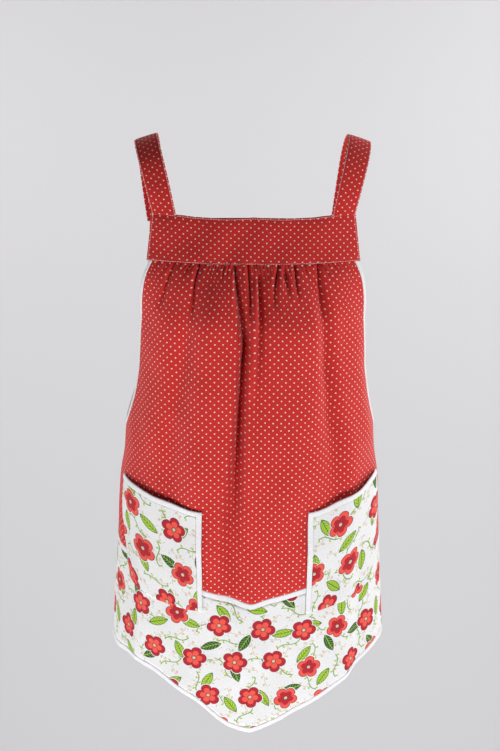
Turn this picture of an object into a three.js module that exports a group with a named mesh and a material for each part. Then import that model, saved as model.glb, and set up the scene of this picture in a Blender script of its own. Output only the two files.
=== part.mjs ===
// Cobbler apron: gathered front and back panels hung from two shoulder straps and yokes,
// with a printed hem band that dips to a point, two bound patch pockets and bias bindings.
// Millimetres, +Z up, the front faces -Y. The origin is the middle of the shoulder line,
// at the height where the straps rest.
import * as THREE from "three";

// Heights, each measured down from the one before
const strapDrop = 92; // shoulder line to the front yoke's top edge
const yokeHeight = 58; // front yoke, top edge to gathered seam
const armholeHeight = 252; // yoke seam to the underarm
const sideHeight = 348; // underarm to the hem at the side seams
const hemDip = 105; // how far the hem's point hangs below its sides
const bandHeight = 165; // printed hem band at the side seams
const bandDip = 57; // how far the band's top edge dips at the centre
const backStrapDrop = 126; // shoulder line to the back yoke's top edge
const backYokeHeight = 50;

// Widths and depths of the body the cloth hangs round
const chestWidth = 330;
const hipWidth = 420;
const bustDepth = 134; // from the side seams' plane forward
const backDepth = 120; // and backward
const yokeTopWidth = 270;
const yokeSeamWidth = 284;
const backYokeTopWidth = 290;
const backYokeSeamWidth = 298;
const bodySquareness = 2.3; // exponent of the section's superellipse, 2 is an ellipse
const sideSeamTurn = 0.98 * (Math.PI / 2); // angle of the side seam from straight ahead

// Armhole: a round bottom, then a nearly straight rise to the yoke's corner
const armholeRoundShare = 0.33; // share of the armhole's cut that the round bottom takes
const armholeRoundRise = 0.25; // share of the armhole's height that the round bottom takes
const armholeCornerInset = 4; // how far inside the yoke's end the front armhole starts

// Straps
const strapWidth = 33;
const strapSpreadShoulder = 288; // between the straps' middles on the shoulders
const strapSpreadFront = 237; // and at the front yoke
const strapSpreadBack = 268; // and at the back yoke
const shoulderSlope = THREE.MathUtils.degToRad(19);

// Pockets, measured across as shares of the front half from centre to side seam
const pocketMouthDrop = 81; // underarm to the mouth's inner corner, before the bound edge
const pocketMouthRise = 25; // how much higher the mouth's outer end is
const pocketHeight = 158; // along the inner edge
const pocketBottomRise = 24; // how much higher the bottom's outer corner is
const pocketGape = 13; // how far the mouth stands off the panel
const pocketOuterShare = 0.845; // at the mouth
const pocketFootShare = 0.755; // at the bottom
const rightPocketDrop = 4; // how much lower the right pocket is sewn
const leftPocketInnerShare = 0.32;
const rightPocketInnerShare = 0.352;

// Cloth and its layers
const clothThickness = 1.2;
const doubledThickness = 2.4; // yokes, straps and bindings are folded cloth
const seamGap = 0.3; // between pieces that are sewn edge to edge
const layerGap = 0.4; // between the pockets and the bound seam under them
const armholeBindingWidth = 6;
const pocketBindingWidth = 8;
const bandBindingWidth = 9;
const hemBindingWidth = 7;

// Folds: what one whole share in the tables below stands for
const foldDepth = 9;
const foldWidth = 26;
const gatherDepth = 3;
const gatherWidth = 8;
const gatherLength = 60;

// Levels of the body: each whole number is one named height passed
const levelHeights = [0, -strapDrop];
levelHeights.push(levelHeights[1] - yokeHeight);
levelHeights.push(levelHeights[2] - armholeHeight);
levelHeights.push(levelHeights[3] - sideHeight);
levelHeights.push(levelHeights[4] - hemDip);
const [, yokeTop, yokeSeam, underarm, hemSide] = levelHeights;
const bandSide = hemSide + bandHeight;
const backYokeTop = -backStrapDrop;
const backYokeSeam = backYokeTop - backYokeHeight;

// Sections of the body: hip is the share of the way from chest width to hip width,
// front and back are shares of the bust and back depths
const sections = [
  { level: 0, hip: 0.56, front: 0.3, back: 0.5 },
  { level: 1, hip: 0.56, front: 0.575, back: 0.76 },
  { level: 2, hip: 0.56, front: 0.72, back: 0.88 },
  { level: 2.17, hip: 0.24, front: 0.88, back: 0.93 },
  { level: 2.34, hip: 0.02, front: 0.98, back: 0.95 },
  { level: 2.58, hip: 0, front: 0.995, back: 0.9 },
  { level: 2.72, hip: 0.08, front: 1, back: 0.87 },
  { level: 2.86, hip: 0.2, front: 1, back: 0.86 },
  { level: 3, hip: 0.32, front: 1, back: 0.87 },
  { level: 3.12, hip: 0.41, front: 1, back: 0.89 },
  { level: 3.25, hip: 0.58, front: 1, back: 0.92 },
  { level: 3.54, hip: 0.73, front: 1.005, back: 0.97 },
  { level: 4, hip: 1, front: 1.015, back: 1.02 },
  { level: 5, hip: 1.13, front: 1.02, back: 1.03 },
];

// Hem: share of the dip that is left at each share of the way from centre to side seam
const hemCurve = [
  { side: 0, left: 1, right: 1 },
  { side: 0.07, left: 0.972, right: 0.94 },
  { side: 0.15, left: 0.905, right: 0.86 },
  { side: 0.22, left: 0.79, right: 0.79 },
  { side: 0.3, left: 0.635, right: 0.705 },
  { side: 0.38, left: 0.475, right: 0.61 },
  { side: 0.46, left: 0.345, right: 0.5 },
  { side: 0.54, left: 0.225, right: 0.37 },
  { side: 0.62, left: 0.13, right: 0.27 },
  { side: 0.7, left: 0.09, right: 0.155 },
  { side: 0.78, left: 0.08, right: 0.03 },
  { side: 0.86, left: 0.06, right: 0 },
  { side: 1, left: 0, right: 0 },
];

// Long folds of the front: top and foot are shares of the half front, negative to the left;
// from and to are levels; width and depth are shares, a negative depth is a valley
const frontFolds = [
  { top: -0.24, foot: -0.13, from: 2, to: 3.5, width: 0.42, depth: -0.95 },
  { top: -0.02, foot: -0.02, from: 2, to: 2.85, width: 0.34, depth: 0.42 },
  { top: 0.04, foot: 0.06, from: 2, to: 3.1, width: 0.34, depth: -0.5 },
  { top: -0.42, foot: -0.3, from: 2.05, to: 4.6, width: 1.25, depth: 0.55 },
  { top: -0.68, foot: -0.46, from: 2.15, to: 4.2, width: 0.95, depth: -0.6 },
  { top: 0.3, foot: 0.24, from: 2.1, to: 4.8, width: 1.3, depth: 0.5 },
  { top: 0.62, foot: 0.52, from: 2.02, to: 4, width: 0.85, depth: -0.7 },
  { top: 0.88, foot: 0.74, from: 2.3, to: 4.4, width: 0.9, depth: 0.3 },
  { top: -0.84, foot: -0.78, from: 3.3, to: 5, width: 0.6, depth: -0.45 },
  { top: 0.7, foot: 0.67, from: 3.3, to: 5, width: 0.7, depth: -0.5 },
];

// Short gathers under the front yoke: at is a share of the half front, length and depth shares
const frontGathers = [
  { at: -0.9, length: 0.7, depth: -0.5 },
  { at: -0.77, length: 1.1, depth: -0.9 },
  { at: -0.6, length: 1, depth: -0.9 },
  { at: -0.46, length: 0.6, depth: -0.6 },
  { at: -0.34, length: 0.7, depth: -0.6 },
  { at: -0.1, length: 1.2, depth: -0.9 },
  { at: 0.15, length: 0.6, depth: -0.6 },
  { at: 0.25, length: 1, depth: -0.9 },
  { at: 0.43, length: 0.6, depth: -0.7 },
  { at: 0.54, length: 0.6, depth: -0.5 },
  { at: 0.66, length: 1.4, depth: -1 },
  { at: 0.77, length: 0.8, depth: -0.7 },
  { at: 0.87, length: 0.7, depth: -0.6 },
];

// Soft folds of the plain back
const backFolds = [
  { top: -0.5, foot: -0.55, from: 2.4, to: 4.9, width: 1.3, depth: 0.45 },
  { top: 0, foot: 0, from: 2.4, to: 4.9, width: 1.4, depth: 0.5 },
  { top: 0.5, foot: 0.55, from: 2.4, to: 4.9, width: 1.3, depth: 0.45 },
];

// Strap path: reach is the share of the way to the yoke, drop and spread are shares too,
// slope is the share of the shoulder's slope and bow the share of the yoke's curve
const strapPath = [
  { end: "front", reach: 1, drop: 1, spread: 1, slope: 0, bow: 1 },
  { end: "front", reach: 0.9, drop: 0.62, spread: 0.68, slope: 0.35, bow: 0.5 },
  { end: "front", reach: 0.68, drop: 0.27, spread: 0.34, slope: 0.75, bow: 0.2 },
  { end: "front", reach: 0.34, drop: 0.06, spread: 0.1, slope: 0.95, bow: 0 },
  { end: "front", reach: 0, drop: 0, spread: 0, slope: 1, bow: 0 },
  { end: "back", reach: 0.34, drop: 0.05, spread: 0.02, slope: 0.95, bow: 0 },
  { end: "back", reach: 0.68, drop: 0.24, spread: 0.14, slope: 0.7, bow: 0.2 },
  { end: "back", reach: 0.9, drop: 0.6, spread: 0.48, slope: 0.3, bow: 0.5 },
  { end: "back", reach: 1, drop: 1, spread: 1, slope: 0, bow: 1 },
];

// How finely the cloth is faceted
const armholeSteps = 13; // along the front or back half of an armhole
const skirtSteps = 5; // from the underarm to the band
const bandSteps = 4;
const pocketAreaSteps = 13; // columns from a pocket's inner edge to the side seam
const middleSteps = 16; // columns between the pockets
const backColumns = 22;
const yokeColumns = 20;
const pocketRows = 7;
const pocketColumns = 10;
const strapSteps = 22;

// Materials
function cloth(color, roughness) {
  return new THREE.MeshStandardMaterial({ color, roughness, metalness: 0 });
}
const dottedCotton = () => cloth(0xb5202a, 0.85);
const printedCotton = () => cloth(0xe9e6e2, 0.85);
const biasTape = () => cloth(0xf2f1f0, 0.8);

// Smooth value of one column of a table at a place along another, without overshoot
function smoothColumn(rows, place, column) {
  const at = rows.map((row) => row[place]);
  const value = rows.map((row) => row[column]);
  const slope = [];
  for (let i = 1; i < at.length; i += 1) {
    slope.push((value[i] - value[i - 1]) / (at[i] - at[i - 1]));
  }
  const tangent = at.map((_, i) => {
    const before = slope[Math.max(i - 1, 0)];
    const after = slope[Math.min(i, slope.length - 1)];
    return before * after > 0 ? (2 * before * after) / (before + after) : 0;
  });
  return (x) => {
    const inside = THREE.MathUtils.clamp(x, at[0], at[at.length - 1]);
    const i = Math.max(at.findIndex((edge) => edge >= inside), 1);
    const span = at[i] - at[i - 1];
    const t = (inside - at[i - 1]) / span;
    const rise = t * t * (3 - 2 * t);
    const lead = t * (1 - t) * (1 - t) * span * tangent[i - 1];
    const trail = t * t * (1 - t) * span * tangent[i];
    return value[i - 1] + (value[i] - value[i - 1]) * rise + lead - trail;
  };
}

function levelToHeight(level) {
  const whole = Math.min(Math.floor(level), levelHeights.length - 2);
  return THREE.MathUtils.lerp(levelHeights[whole], levelHeights[whole + 1], level - whole);
}

const sectionRows = sections.map((row) => ({
  down: -levelToHeight(row.level),
  halfWidth: THREE.MathUtils.lerp(chestWidth, hipWidth, row.hip) / 2,
  front: row.front * bustDepth,
  back: row.back * backDepth,
}));
const halfWidthAt = smoothColumn(sectionRows, "down", "halfWidth");
const frontAt = smoothColumn(sectionRows, "down", "front");
const backAt = smoothColumn(sectionRows, "down", "back");

// Point of the unfolded body at a turn from straight ahead (positive to +X) and a height
function bodyPoint(turn, z) {
  const depth = Math.cos(turn) > 0 ? frontAt(-z) : backAt(-z);
  const side = (Math.abs(Math.sin(turn)) / halfWidthAt(-z)) ** bodySquareness;
  const ahead = (Math.abs(Math.cos(turn)) / depth) ** bodySquareness;
  const radius = (side + ahead) ** (-1 / bodySquareness);
  return new THREE.Vector3(radius * Math.sin(turn), -radius * Math.cos(turn), z);
}

// Turn at which the body has a given half width, on its front or back
function turnAtWidth(halfWidth, z, isBack) {
  const depth = isBack ? backAt(-z) : frontAt(-z);
  const rest = 1 - (halfWidth / halfWidthAt(-z)) ** bodySquareness;
  const ahead = depth * Math.max(rest, 0) ** (1 / bodySquareness);
  return Math.atan2(halfWidth, isBack ? -ahead : ahead);
}

// Millimetres along the cloth for one radian of turn
function girthPerRadian(turn, z) {
  const step = 0.01;
  return bodyPoint(turn + step, z).distanceTo(bodyPoint(turn - step, z)) / (2 * step);
}

// Folds: how far the cloth stands off the body
function bell(x) {
  return Math.exp(-x * x);
}

function fadeBetween(x, start, end) {
  return THREE.MathUtils.smoothstep(x, Math.min(start, end), Math.max(start, end));
}

function halfGirth(z, isBack) {
  const middle = isBack ? backAt(-z) : frontAt(-z);
  return (Math.PI / 2) * Math.sqrt((halfWidthAt(-z) ** 2 + middle ** 2) / 2);
}

function foldOffset(share, z, folds, isBack) {
  let offset = 0;
  for (const fold of folds) {
    const from = levelToHeight(fold.from);
    const to = levelToHeight(fold.to);
    const way = THREE.MathUtils.clamp((from - z) / (from - to), 0, 1);
    const across = (share - THREE.MathUtils.lerp(fold.top, fold.foot, way)) * halfGirth(z, isBack);
    const length = fadeBetween(way, 0, 0.12) * (1 - fadeBetween(way, 0.6, 1));
    offset += foldDepth * fold.depth * length * bell(across / (foldWidth * fold.width));
  }
  return offset;
}

function gatherOffset(share, z) {
  const below = yokeSeam - z;
  if (below < 0) {
    return 0;
  }
  let offset = gatherDepth * 0.5 * Math.exp(-below / gatherLength);
  for (const gather of frontGathers) {
    const across = (share - gather.at) * halfGirth(z, false);
    const fade = Math.exp(-((below / (gatherLength * gather.length)) ** 2));
    offset += gatherDepth * gather.depth * fade * bell(across / gatherWidth);
  }
  return offset;
}

// Turn of the cloth's cut edge: the side seam below the underarm, the armhole above it
function armholeOpen(q) {
  const round = Math.min(q / armholeRoundRise, 1);
  const bottom = armholeRoundShare * Math.sqrt(1 - (1 - round) ** 2);
  return bottom + (1 - armholeRoundShare) * q;
}

const frontCorner = turnAtWidth(yokeSeamWidth / 2 - armholeCornerInset, yokeSeam, false);
const backCorner = turnAtWidth(backYokeSeamWidth / 2, backYokeSeam, true);

function edgeTurn(z, isBack) {
  const top = isBack ? backYokeSeam : yokeSeam;
  const corner = isBack ? backCorner : frontCorner;
  const q = THREE.MathUtils.clamp((z - underarm) / (top - underarm), 0, 1);
  return sideSeamTurn + (corner - sideSeamTurn) * armholeOpen(q);
}

// Turn from the middle of the front or back that a whole share of a half panel reaches,
// were its armhole cut straight from the underarm to the yoke's corner
function wholeTurn(z, isBack) {
  const top = isBack ? backYokeSeam : yokeSeam;
  const corner = isBack ? backCorner : frontCorner;
  const turn = THREE.MathUtils.mapLinear(z, underarm, top, sideSeamTurn, corner);
  return isBack ? Math.PI - Math.max(turn, sideSeamTurn) : Math.min(turn, sideSeamTurn);
}

function foldedOffset(turn, z) {
  const isBack = Math.abs(turn) > sideSeamTurn;
  const fullTurn = wholeTurn(z, isBack);
  const ownTurn = isBack ? Math.sign(turn) * (Math.PI - Math.abs(turn)) : turn;
  const share = THREE.MathUtils.clamp(ownTurn / fullTurn, -1, 1);
  const seamFade = 1 - share ** 8;
  if (isBack) {
    return seamFade * foldOffset(share, z, backFolds, true);
  }
  return seamFade * (foldOffset(share, z, frontFolds, false) + gatherOffset(share, z));
}

function foldedPoint(turn, z) {
  const point = bodyPoint(turn, z);
  const step = 0.02;
  const along = bodyPoint(turn + step, z).sub(bodyPoint(turn - step, z)).normalize();
  const outward = new THREE.Vector3(along.y, -along.x, 0);
  return point.addScaledVector(outward, foldedOffset(turn, z));
}

// Point of the cloth at a level distance off the folded surface, so that a level edge stays level
function clothPoint(turn, z, lift) {
  const step = 0.015;
  const around = foldedPoint(turn + step, z).sub(foldedPoint(turn - step, z)).normalize();
  const outward = new THREE.Vector3(around.y, -around.x, 0);
  return foldedPoint(turn, z).addScaledVector(outward, lift);
}

// Closed solid between two grids of points: point(row, column, lift) gives both faces.
// Rows run downwards and columns towards +turn; a looped grid joins its last column to its first.
function wallGeometry(rows, columns, point, inner, outer, looped = false) {
  const across = looped ? columns : columns + 1;
  const positions = [];
  const index = [];
  for (const lift of [outer, inner]) {
    for (let i = 0; i <= rows; i += 1) {
      for (let j = 0; j < across; j += 1) {
        positions.push(...point(i, j, lift).toArray());
      }
    }
  }
  const innerStart = (rows + 1) * across;
  const at = (i, j, start) => start + i * across + (j % across);
  const quad = (a, b, c, d) => index.push(a, b, c, a, c, d);
  for (let i = 0; i < rows; i += 1) {
    for (let j = 0; j < columns; j += 1) {
      quad(at(i, j, 0), at(i + 1, j, 0), at(i + 1, j + 1, 0), at(i, j + 1, 0));
      quad(
        at(i, j, innerStart),
        at(i, j + 1, innerStart),
        at(i + 1, j + 1, innerStart),
        at(i + 1, j, innerStart),
      );
    }
  }
  for (let j = 0; j < columns; j += 1) {
    quad(at(0, j, 0), at(0, j + 1, 0), at(0, j + 1, innerStart), at(0, j, innerStart));
    quad(at(rows, j, 0), at(rows, j, innerStart), at(rows, j + 1, innerStart), at(rows, j + 1, 0));
  }
  for (let i = 0; i < rows && !looped; i += 1) {
    quad(at(i, 0, 0), at(i, 0, innerStart), at(i + 1, 0, innerStart), at(i + 1, 0, 0));
    quad(
      at(i, columns, 0),
      at(i + 1, columns, 0),
      at(i + 1, columns, innerStart),
      at(i, columns, innerStart),
    );
  }
  const geometry = new THREE.BufferGeometry();
  geometry.setAttribute("position", new THREE.Float32BufferAttribute(positions, 3));
  geometry.setIndex(index);
  geometry.computeVertexNormals();
  return geometry;
}

const apron = new THREE.Group();

function addPiece(name, geometry, material) {
  const mesh = new THREE.Mesh(geometry, material);
  mesh.name = name;
  apron.add(mesh);
}

// The armhole's edge from the yoke's corner (k = armholeSteps) down to the underarm (k = 0),
// and the same edge moved into the cloth by a distance
function armholeEdge(k, isBack) {
  const q = (1 - Math.cos((Math.PI * k) / armholeSteps)) / 2;
  const top = (isBack ? backYokeSeam : yokeSeam) - seamGap;
  const z = THREE.MathUtils.lerp(underarm, top, q);
  return { turn: edgeTurn(z, isBack), z };
}

function armholeInset(k, isBack, distance) {
  const edge = armholeEdge(k, isBack);
  const inwards = isBack ? 1 : -1;
  const girth = girthPerRadian(edge.turn, edge.z);
  if (k === 0) {
    return { turn: edge.turn, z: edge.z - distance };
  }
  if (k === armholeSteps) {
    return { turn: edge.turn + (inwards * distance) / girth, z: edge.z };
  }
  const before = armholeEdge(k - 1, isBack);
  const after = armholeEdge(k + 1, isBack);
  const alongTurn = Math.abs(after.turn - before.turn) * girth;
  const alongHeight = after.z - before.z;
  const length = Math.hypot(alongTurn, alongHeight);
  return {
    turn: edge.turn + (inwards * distance * alongHeight) / (length * girth),
    z: edge.z - (distance * alongTurn) / length,
  };
}

// Lines of the hem band
function bandTopAt(share) {
  const softened = Math.sqrt(share * share + 0.0006);
  return bandSide - bandDip * (1 - Math.min(softened, 1)) ** 1.3;
}

const hemLeft = smoothColumn(hemCurve, "side", "left");
const hemRight = smoothColumn(hemCurve, "side", "right");

function hemAt(share, isBack) {
  if (isBack) {
    return hemSide - hemDip * (1 - Math.abs(share)) ** 1.3;
  }
  return hemSide - hemDip * (share < 0 ? hemLeft(-share) : hemRight(share));
}

// Shares of the half front at which the front's columns stand
const frontShares = [];
for (let j = 0; j <= pocketAreaSteps; j += 1) {
  frontShares.push(THREE.MathUtils.lerp(-1, -leftPocketInnerShare, j / pocketAreaSteps));
}
for (let j = 1; j <= middleSteps; j += 1) {
  const way = j / middleSteps;
  frontShares.push(THREE.MathUtils.lerp(-leftPocketInnerShare, rightPocketInnerShare, way));
}
for (let j = 1; j <= pocketAreaSteps; j += 1) {
  frontShares.push(THREE.MathUtils.lerp(rightPocketInnerShare, 1, j / pocketAreaSteps));
}
const backShares = [];
for (let j = 0; j <= backColumns; j += 1) {
  backShares.push(1 - (2 * j) / backColumns);
}

// Turn of a column: the front runs from left to right, the back from right to left behind.
// The inner columns run straight down, the outer ones give way to the cut edge.
function columnTurn(share, endTurn, z, isBack) {
  const whole = wholeTurn(z, isBack);
  const cut = whole - (isBack ? Math.PI - endTurn : endTurn);
  const turn = share * whole - Math.sign(share) * share ** 4 * cut;
  return isBack ? Math.PI - turn : turn;
}

function seamEndTurn(z, isBack) {
  const half = seamGap / 2 / girthPerRadian(sideSeamTurn, z);
  return sideSeamTurn + (isBack ? half : -half);
}

// Panels, from the yoke's seam down to the hem band
function addPanel(name, isBack) {
  const shares = isBack ? backShares : frontShares;
  const point = (row, column, lift) => {
    const share = shares[column];
    if (row <= armholeSteps) {
      const inset = armholeInset(armholeSteps - row, isBack, armholeBindingWidth + seamGap);
      const end = seamEndTurn(inset.z, isBack);
      const endTurn = isBack ? Math.max(inset.turn, end) : Math.min(inset.turn, end);
      return clothPoint(columnTurn(share, endTurn, inset.z, isBack), inset.z, lift);
    }
    const top = underarm - armholeBindingWidth - seamGap;
    const bottom = bandTopAt(share) + bandBindingWidth / 2 + seamGap;
    const z = THREE.MathUtils.lerp(top, bottom, (row - armholeSteps) / skirtSteps);
    return clothPoint(columnTurn(share, seamEndTurn(z, isBack), z, isBack), z, lift);
  };
  const geometry = wallGeometry(
    armholeSteps + skirtSteps,
    shares.length - 1,
    point,
    0,
    clothThickness,
  );
  addPiece(name, geometry, dottedCotton());
}
addPanel("front_panel", false);
addPanel("back_panel", true);

// A strip of the lower apron between two lines, each a height for a share of the half width
function addStrip(name, isBack, rows, topLine, bottomLine, inner, outer, material) {
  const shares = isBack ? backShares : frontShares;
  const point = (row, column, lift) => {
    const share = shares[column];
    const z = THREE.MathUtils.lerp(topLine(share), bottomLine(share), row / rows);
    return clothPoint(columnTurn(share, seamEndTurn(z, isBack), z, isBack), z, lift);
  };
  addPiece(name, wallGeometry(rows, shares.length - 1, point, inner, outer), material);
}

const foldedInner = (clothThickness - doubledThickness) / 2;
const foldedOuter = (clothThickness + doubledThickness) / 2;

for (const isBack of [false, true]) {
  const side = isBack ? "back" : "front";
  const bandTop = (share) => bandTopAt(share) - bandBindingWidth / 2 - seamGap;
  const bandBottom = (share) => hemAt(share, isBack) + hemBindingWidth + seamGap;
  const coverTop = (share) => bandTopAt(share) + bandBindingWidth / 2;
  const coverBottom = (share) => bandTopAt(share) - bandBindingWidth / 2;
  const tapeInner = foldedInner;
  addStrip(`hem_band_${side}`, isBack, bandSteps, bandTop, bandBottom, 0, clothThickness, printedCotton());
  addStrip(`band_binding_${side}`, isBack, 1, coverTop, coverBottom, tapeInner, foldedOuter, biasTape());
}

// Hem binding: one ring round the whole lower edge
const hemRing = [
  ...frontShares.slice(0, -1).map((share) => ({ share, isBack: false })),
  ...backShares.slice(0, -1).map((share) => ({ share, isBack: true })),
];

function hemRingPoint(row, column, lift) {
  const { share, isBack } = hemRing[column];
  const z = hemAt(share, isBack) + (row === 0 ? hemBindingWidth : 0);
  return clothPoint(columnTurn(share, sideSeamTurn, z, isBack), z, lift);
}
addPiece(
  "hem_binding",
  wallGeometry(1, hemRing.length, hemRingPoint, foldedInner, foldedOuter, true),
  biasTape(),
);

// Armhole bindings, from the front yoke's corner under the arm to the back yoke's corner
function addArmholeBinding(name, side) {
  const point = (row, column, lift) => {
    const isBack = column > armholeSteps;
    const k = Math.abs(armholeSteps - column);
    const place = armholeInset(k, isBack, row === 0 ? 0 : armholeBindingWidth);
    return clothPoint(side * place.turn, place.z, lift);
  };
  const mirrored = (row, column, lift) => point(row, 2 * armholeSteps - column, lift);
  const geometry = wallGeometry(
    1,
    2 * armholeSteps,
    side > 0 ? point : mirrored,
    foldedInner,
    foldedOuter,
  );
  addPiece(name, geometry, biasTape());
}
addArmholeBinding("armhole_binding_left", -1);
addArmholeBinding("armhole_binding_right", 1);

// Yokes: folded bands across the chest and the back
function addYoke(name, isBack) {
  const top = isBack ? backYokeTop : yokeTop;
  const seam = isBack ? backYokeSeam : yokeSeam;
  const topWidth = isBack ? backYokeTopWidth : yokeTopWidth;
  const seamWidth = isBack ? backYokeSeamWidth : yokeSeamWidth;
  const rows = 3;
  const point = (row, column, lift) => {
    const z = THREE.MathUtils.lerp(top, seam, row / rows);
    const halfWidth = THREE.MathUtils.lerp(topWidth, seamWidth, row / rows) / 2;
    const endTurn = turnAtWidth(halfWidth, z, isBack);
    const way = (2 * column) / yokeColumns - 1;
    const turn = isBack ? Math.PI + way * (Math.PI - endTurn) : way * endTurn;
    return clothPoint(turn, z, lift);
  };
  addPiece(name, wallGeometry(rows, yokeColumns, point, foldedInner, foldedOuter), dottedCotton());
}
addYoke("front_yoke", false);
addYoke("back_yoke", true);

// Straps, from the front yoke's top edge over the shoulder to the back yoke's
function strapEnd(isBack) {
  const z = (isBack ? backYokeTop : yokeTop) + seamGap;
  const x = (isBack ? strapSpreadBack : strapSpreadFront) / 2;
  const turn = turnAtWidth(x, z, isBack);
  const middle = clothPoint(turn, z, clothThickness / 2);
  const tangent = bodyPoint(turn + 0.01, z).sub(bodyPoint(turn - 0.01, z)).normalize();
  const across = isBack ? tangent.negate() : tangent;
  const edge = bodyPoint(turnAtWidth(x + strapWidth / 2, z, isBack), z);
  const outward = new THREE.Vector3(across.y, -across.x, 0);
  return { middle, across, bow: Math.abs(edge.sub(bodyPoint(turn, z)).dot(outward)) };
}
const strapEnds = { front: strapEnd(false), back: strapEnd(true) };

function addStrap(name, side) {
  const knots = strapPath.map((row) => {
    const end = strapEnds[row.end];
    return new THREE.Vector3(
      side * THREE.MathUtils.lerp(strapSpreadShoulder / 2, end.middle.x, row.spread),
      row.reach * end.middle.y,
      row.drop * end.middle.z + (1 - row.drop) * (doubledThickness / 2),
    );
  });
  const path = new THREE.CatmullRomCurve3(knots);
  const rowAt = (t) => {
    const place = t * (strapPath.length - 1);
    const before = Math.min(Math.floor(place), strapPath.length - 2);
    const mix = (key) => {
      return THREE.MathUtils.lerp(strapPath[before][key], strapPath[before + 1][key], place - before);
    };
    return { slope: mix("slope"), bow: mix("bow"), end: strapEnds[t < 0.5 ? "front" : "back"] };
  };
  const point = (row, column, lift) => {
    const t = row / strapSteps;
    const { slope, bow, end } = rowAt(t);
    const level = end.across.clone().lerp(new THREE.Vector3(1, 0, 0), slope).normalize();
    level.z = -Math.sin(slope * shoulderSlope);
    level.x *= side;
    const across = level.normalize();
    const outward = path.getTangent(t).cross(across).multiplyScalar(-side);
    outward.z *= Math.min(1, Math.min(row, strapSteps - row) / 2); // cut level at the yokes
    outward.normalize();
    const share = column / 2 - 1;
    const place = path.getPoint(t).addScaledVector(across, (share * strapWidth) / 2);
    return place.addScaledVector(outward, lift - bow * end.bow * share * share);
  };
  const mirrored = (row, column, lift) => point(row, 4 - column, lift);
  const half = doubledThickness / 2;
  const geometry = wallGeometry(strapSteps, 4, side > 0 ? mirrored : point, -half, half);
  addPiece(name, geometry, dottedCotton());
}
addStrap("strap_left", -1);
addStrap("strap_right", 1);

// Pockets: a patch stitched at its bottom and sides whose mouth stands off the panel.
// across runs from the inner edge to the outer, up from the bottom to the mouth.
const pocketLift = foldedOuter + layerGap;
const mouthInner = underarm - pocketMouthDrop - pocketBindingWidth;

function pocketPlace(side, across, up) {
  const inner = side < 0 ? leftPocketInnerShare : rightPocketInnerShare;
  const outer = THREE.MathUtils.lerp(pocketFootShare, pocketOuterShare, up);
  const share = THREE.MathUtils.lerp(inner, outer, across);
  const innerTop = mouthInner - (side < 0 ? 0 : rightPocketDrop);
  const mouth = innerTop + pocketMouthRise * across ** 1.2;
  const bottom = innerTop - pocketHeight + pocketBottomRise * across ** 2.4;
  const z = THREE.MathUtils.lerp(bottom, mouth, up);
  const crown = Math.sin(Math.PI * across ** 1.25) ** 1.3;
  return { share, z, gape: pocketGape * crown * up ** 1.6 };
}

function pocketPoint(side, across, up, lift) {
  const { share, z, gape } = pocketPlace(side, across, up);
  return clothPoint(side * share * seamEndTurn(z, false), z, pocketLift + gape + lift);
}

function addPocket(name, bindingName, side) {
  const inner = side < 0 ? leftPocketInnerShare : rightPocketInnerShare;
  const width = (pocketOuterShare - inner) * halfGirth(mouthInner, false);
  const tapeAcross = pocketBindingWidth / width;
  const tapeUp = pocketBindingWidth / pocketHeight;
  const gapAcross = seamGap / width;
  const gapUp = seamGap / pocketHeight;
  const patch = (row, column, lift) => {
    const way = side < 0 ? 1 - column / pocketColumns : column / pocketColumns;
    const across = THREE.MathUtils.lerp(tapeAcross + gapAcross, 1, way);
    const up = THREE.MathUtils.lerp(1 - tapeUp - gapUp, 0, row / pocketRows);
    return pocketPoint(side, across, up, lift);
  };
  addPiece(name, wallGeometry(pocketRows, pocketColumns, patch, 0, clothThickness), printedCotton());

  // The tape runs up the inner edge, turns the corner and follows the mouth
  const steps = pocketRows + 1 + pocketColumns;
  const tape = (row, column, lift) => {
    const isEdge = row === 0;
    if (column <= pocketRows) {
      const up = (column / pocketRows) * (1 - tapeUp);
      return pocketPoint(side, isEdge ? 0 : tapeAcross, up, lift);
    }
    if (column === pocketRows + 1) {
      return pocketPoint(side, isEdge ? 0 : tapeAcross, isEdge ? 1 : 1 - tapeUp, lift);
    }
    const way = (column - pocketRows - 1) / pocketColumns;
    return pocketPoint(side, THREE.MathUtils.lerp(tapeAcross, 1, way), isEdge ? 1 : 1 - tapeUp, lift);
  };
  const reversed = (row, column, lift) => tape(row, steps - column, lift);
  const geometry = wallGeometry(1, steps, side < 0 ? reversed : tape, 0, doubledThickness);
  addPiece(bindingName, geometry, biasTape());
}
addPocket("pocket_left", "pocket_binding_left", -1);
addPocket("pocket_right", "pocket_binding_right", 1);

export default apron;
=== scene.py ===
import math

import bpy
import numpy as np
from mathutils import Matrix, Vector


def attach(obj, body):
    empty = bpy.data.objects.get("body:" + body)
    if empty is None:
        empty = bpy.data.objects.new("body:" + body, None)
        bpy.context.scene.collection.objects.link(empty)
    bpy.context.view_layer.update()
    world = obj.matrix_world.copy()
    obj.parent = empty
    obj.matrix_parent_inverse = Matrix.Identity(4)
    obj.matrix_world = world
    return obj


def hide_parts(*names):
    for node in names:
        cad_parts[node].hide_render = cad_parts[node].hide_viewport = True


bl_info = {
    "name": "Cobbler apron",
    "version": (1, 0, 0),
    "blender": (4, 5, 0),
    "location": "3D View > Sidebar > Apron",
    "description": "Dresses the packed solids of a cobbler apron in sewn cotton",
    "category": "Object",
}

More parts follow.
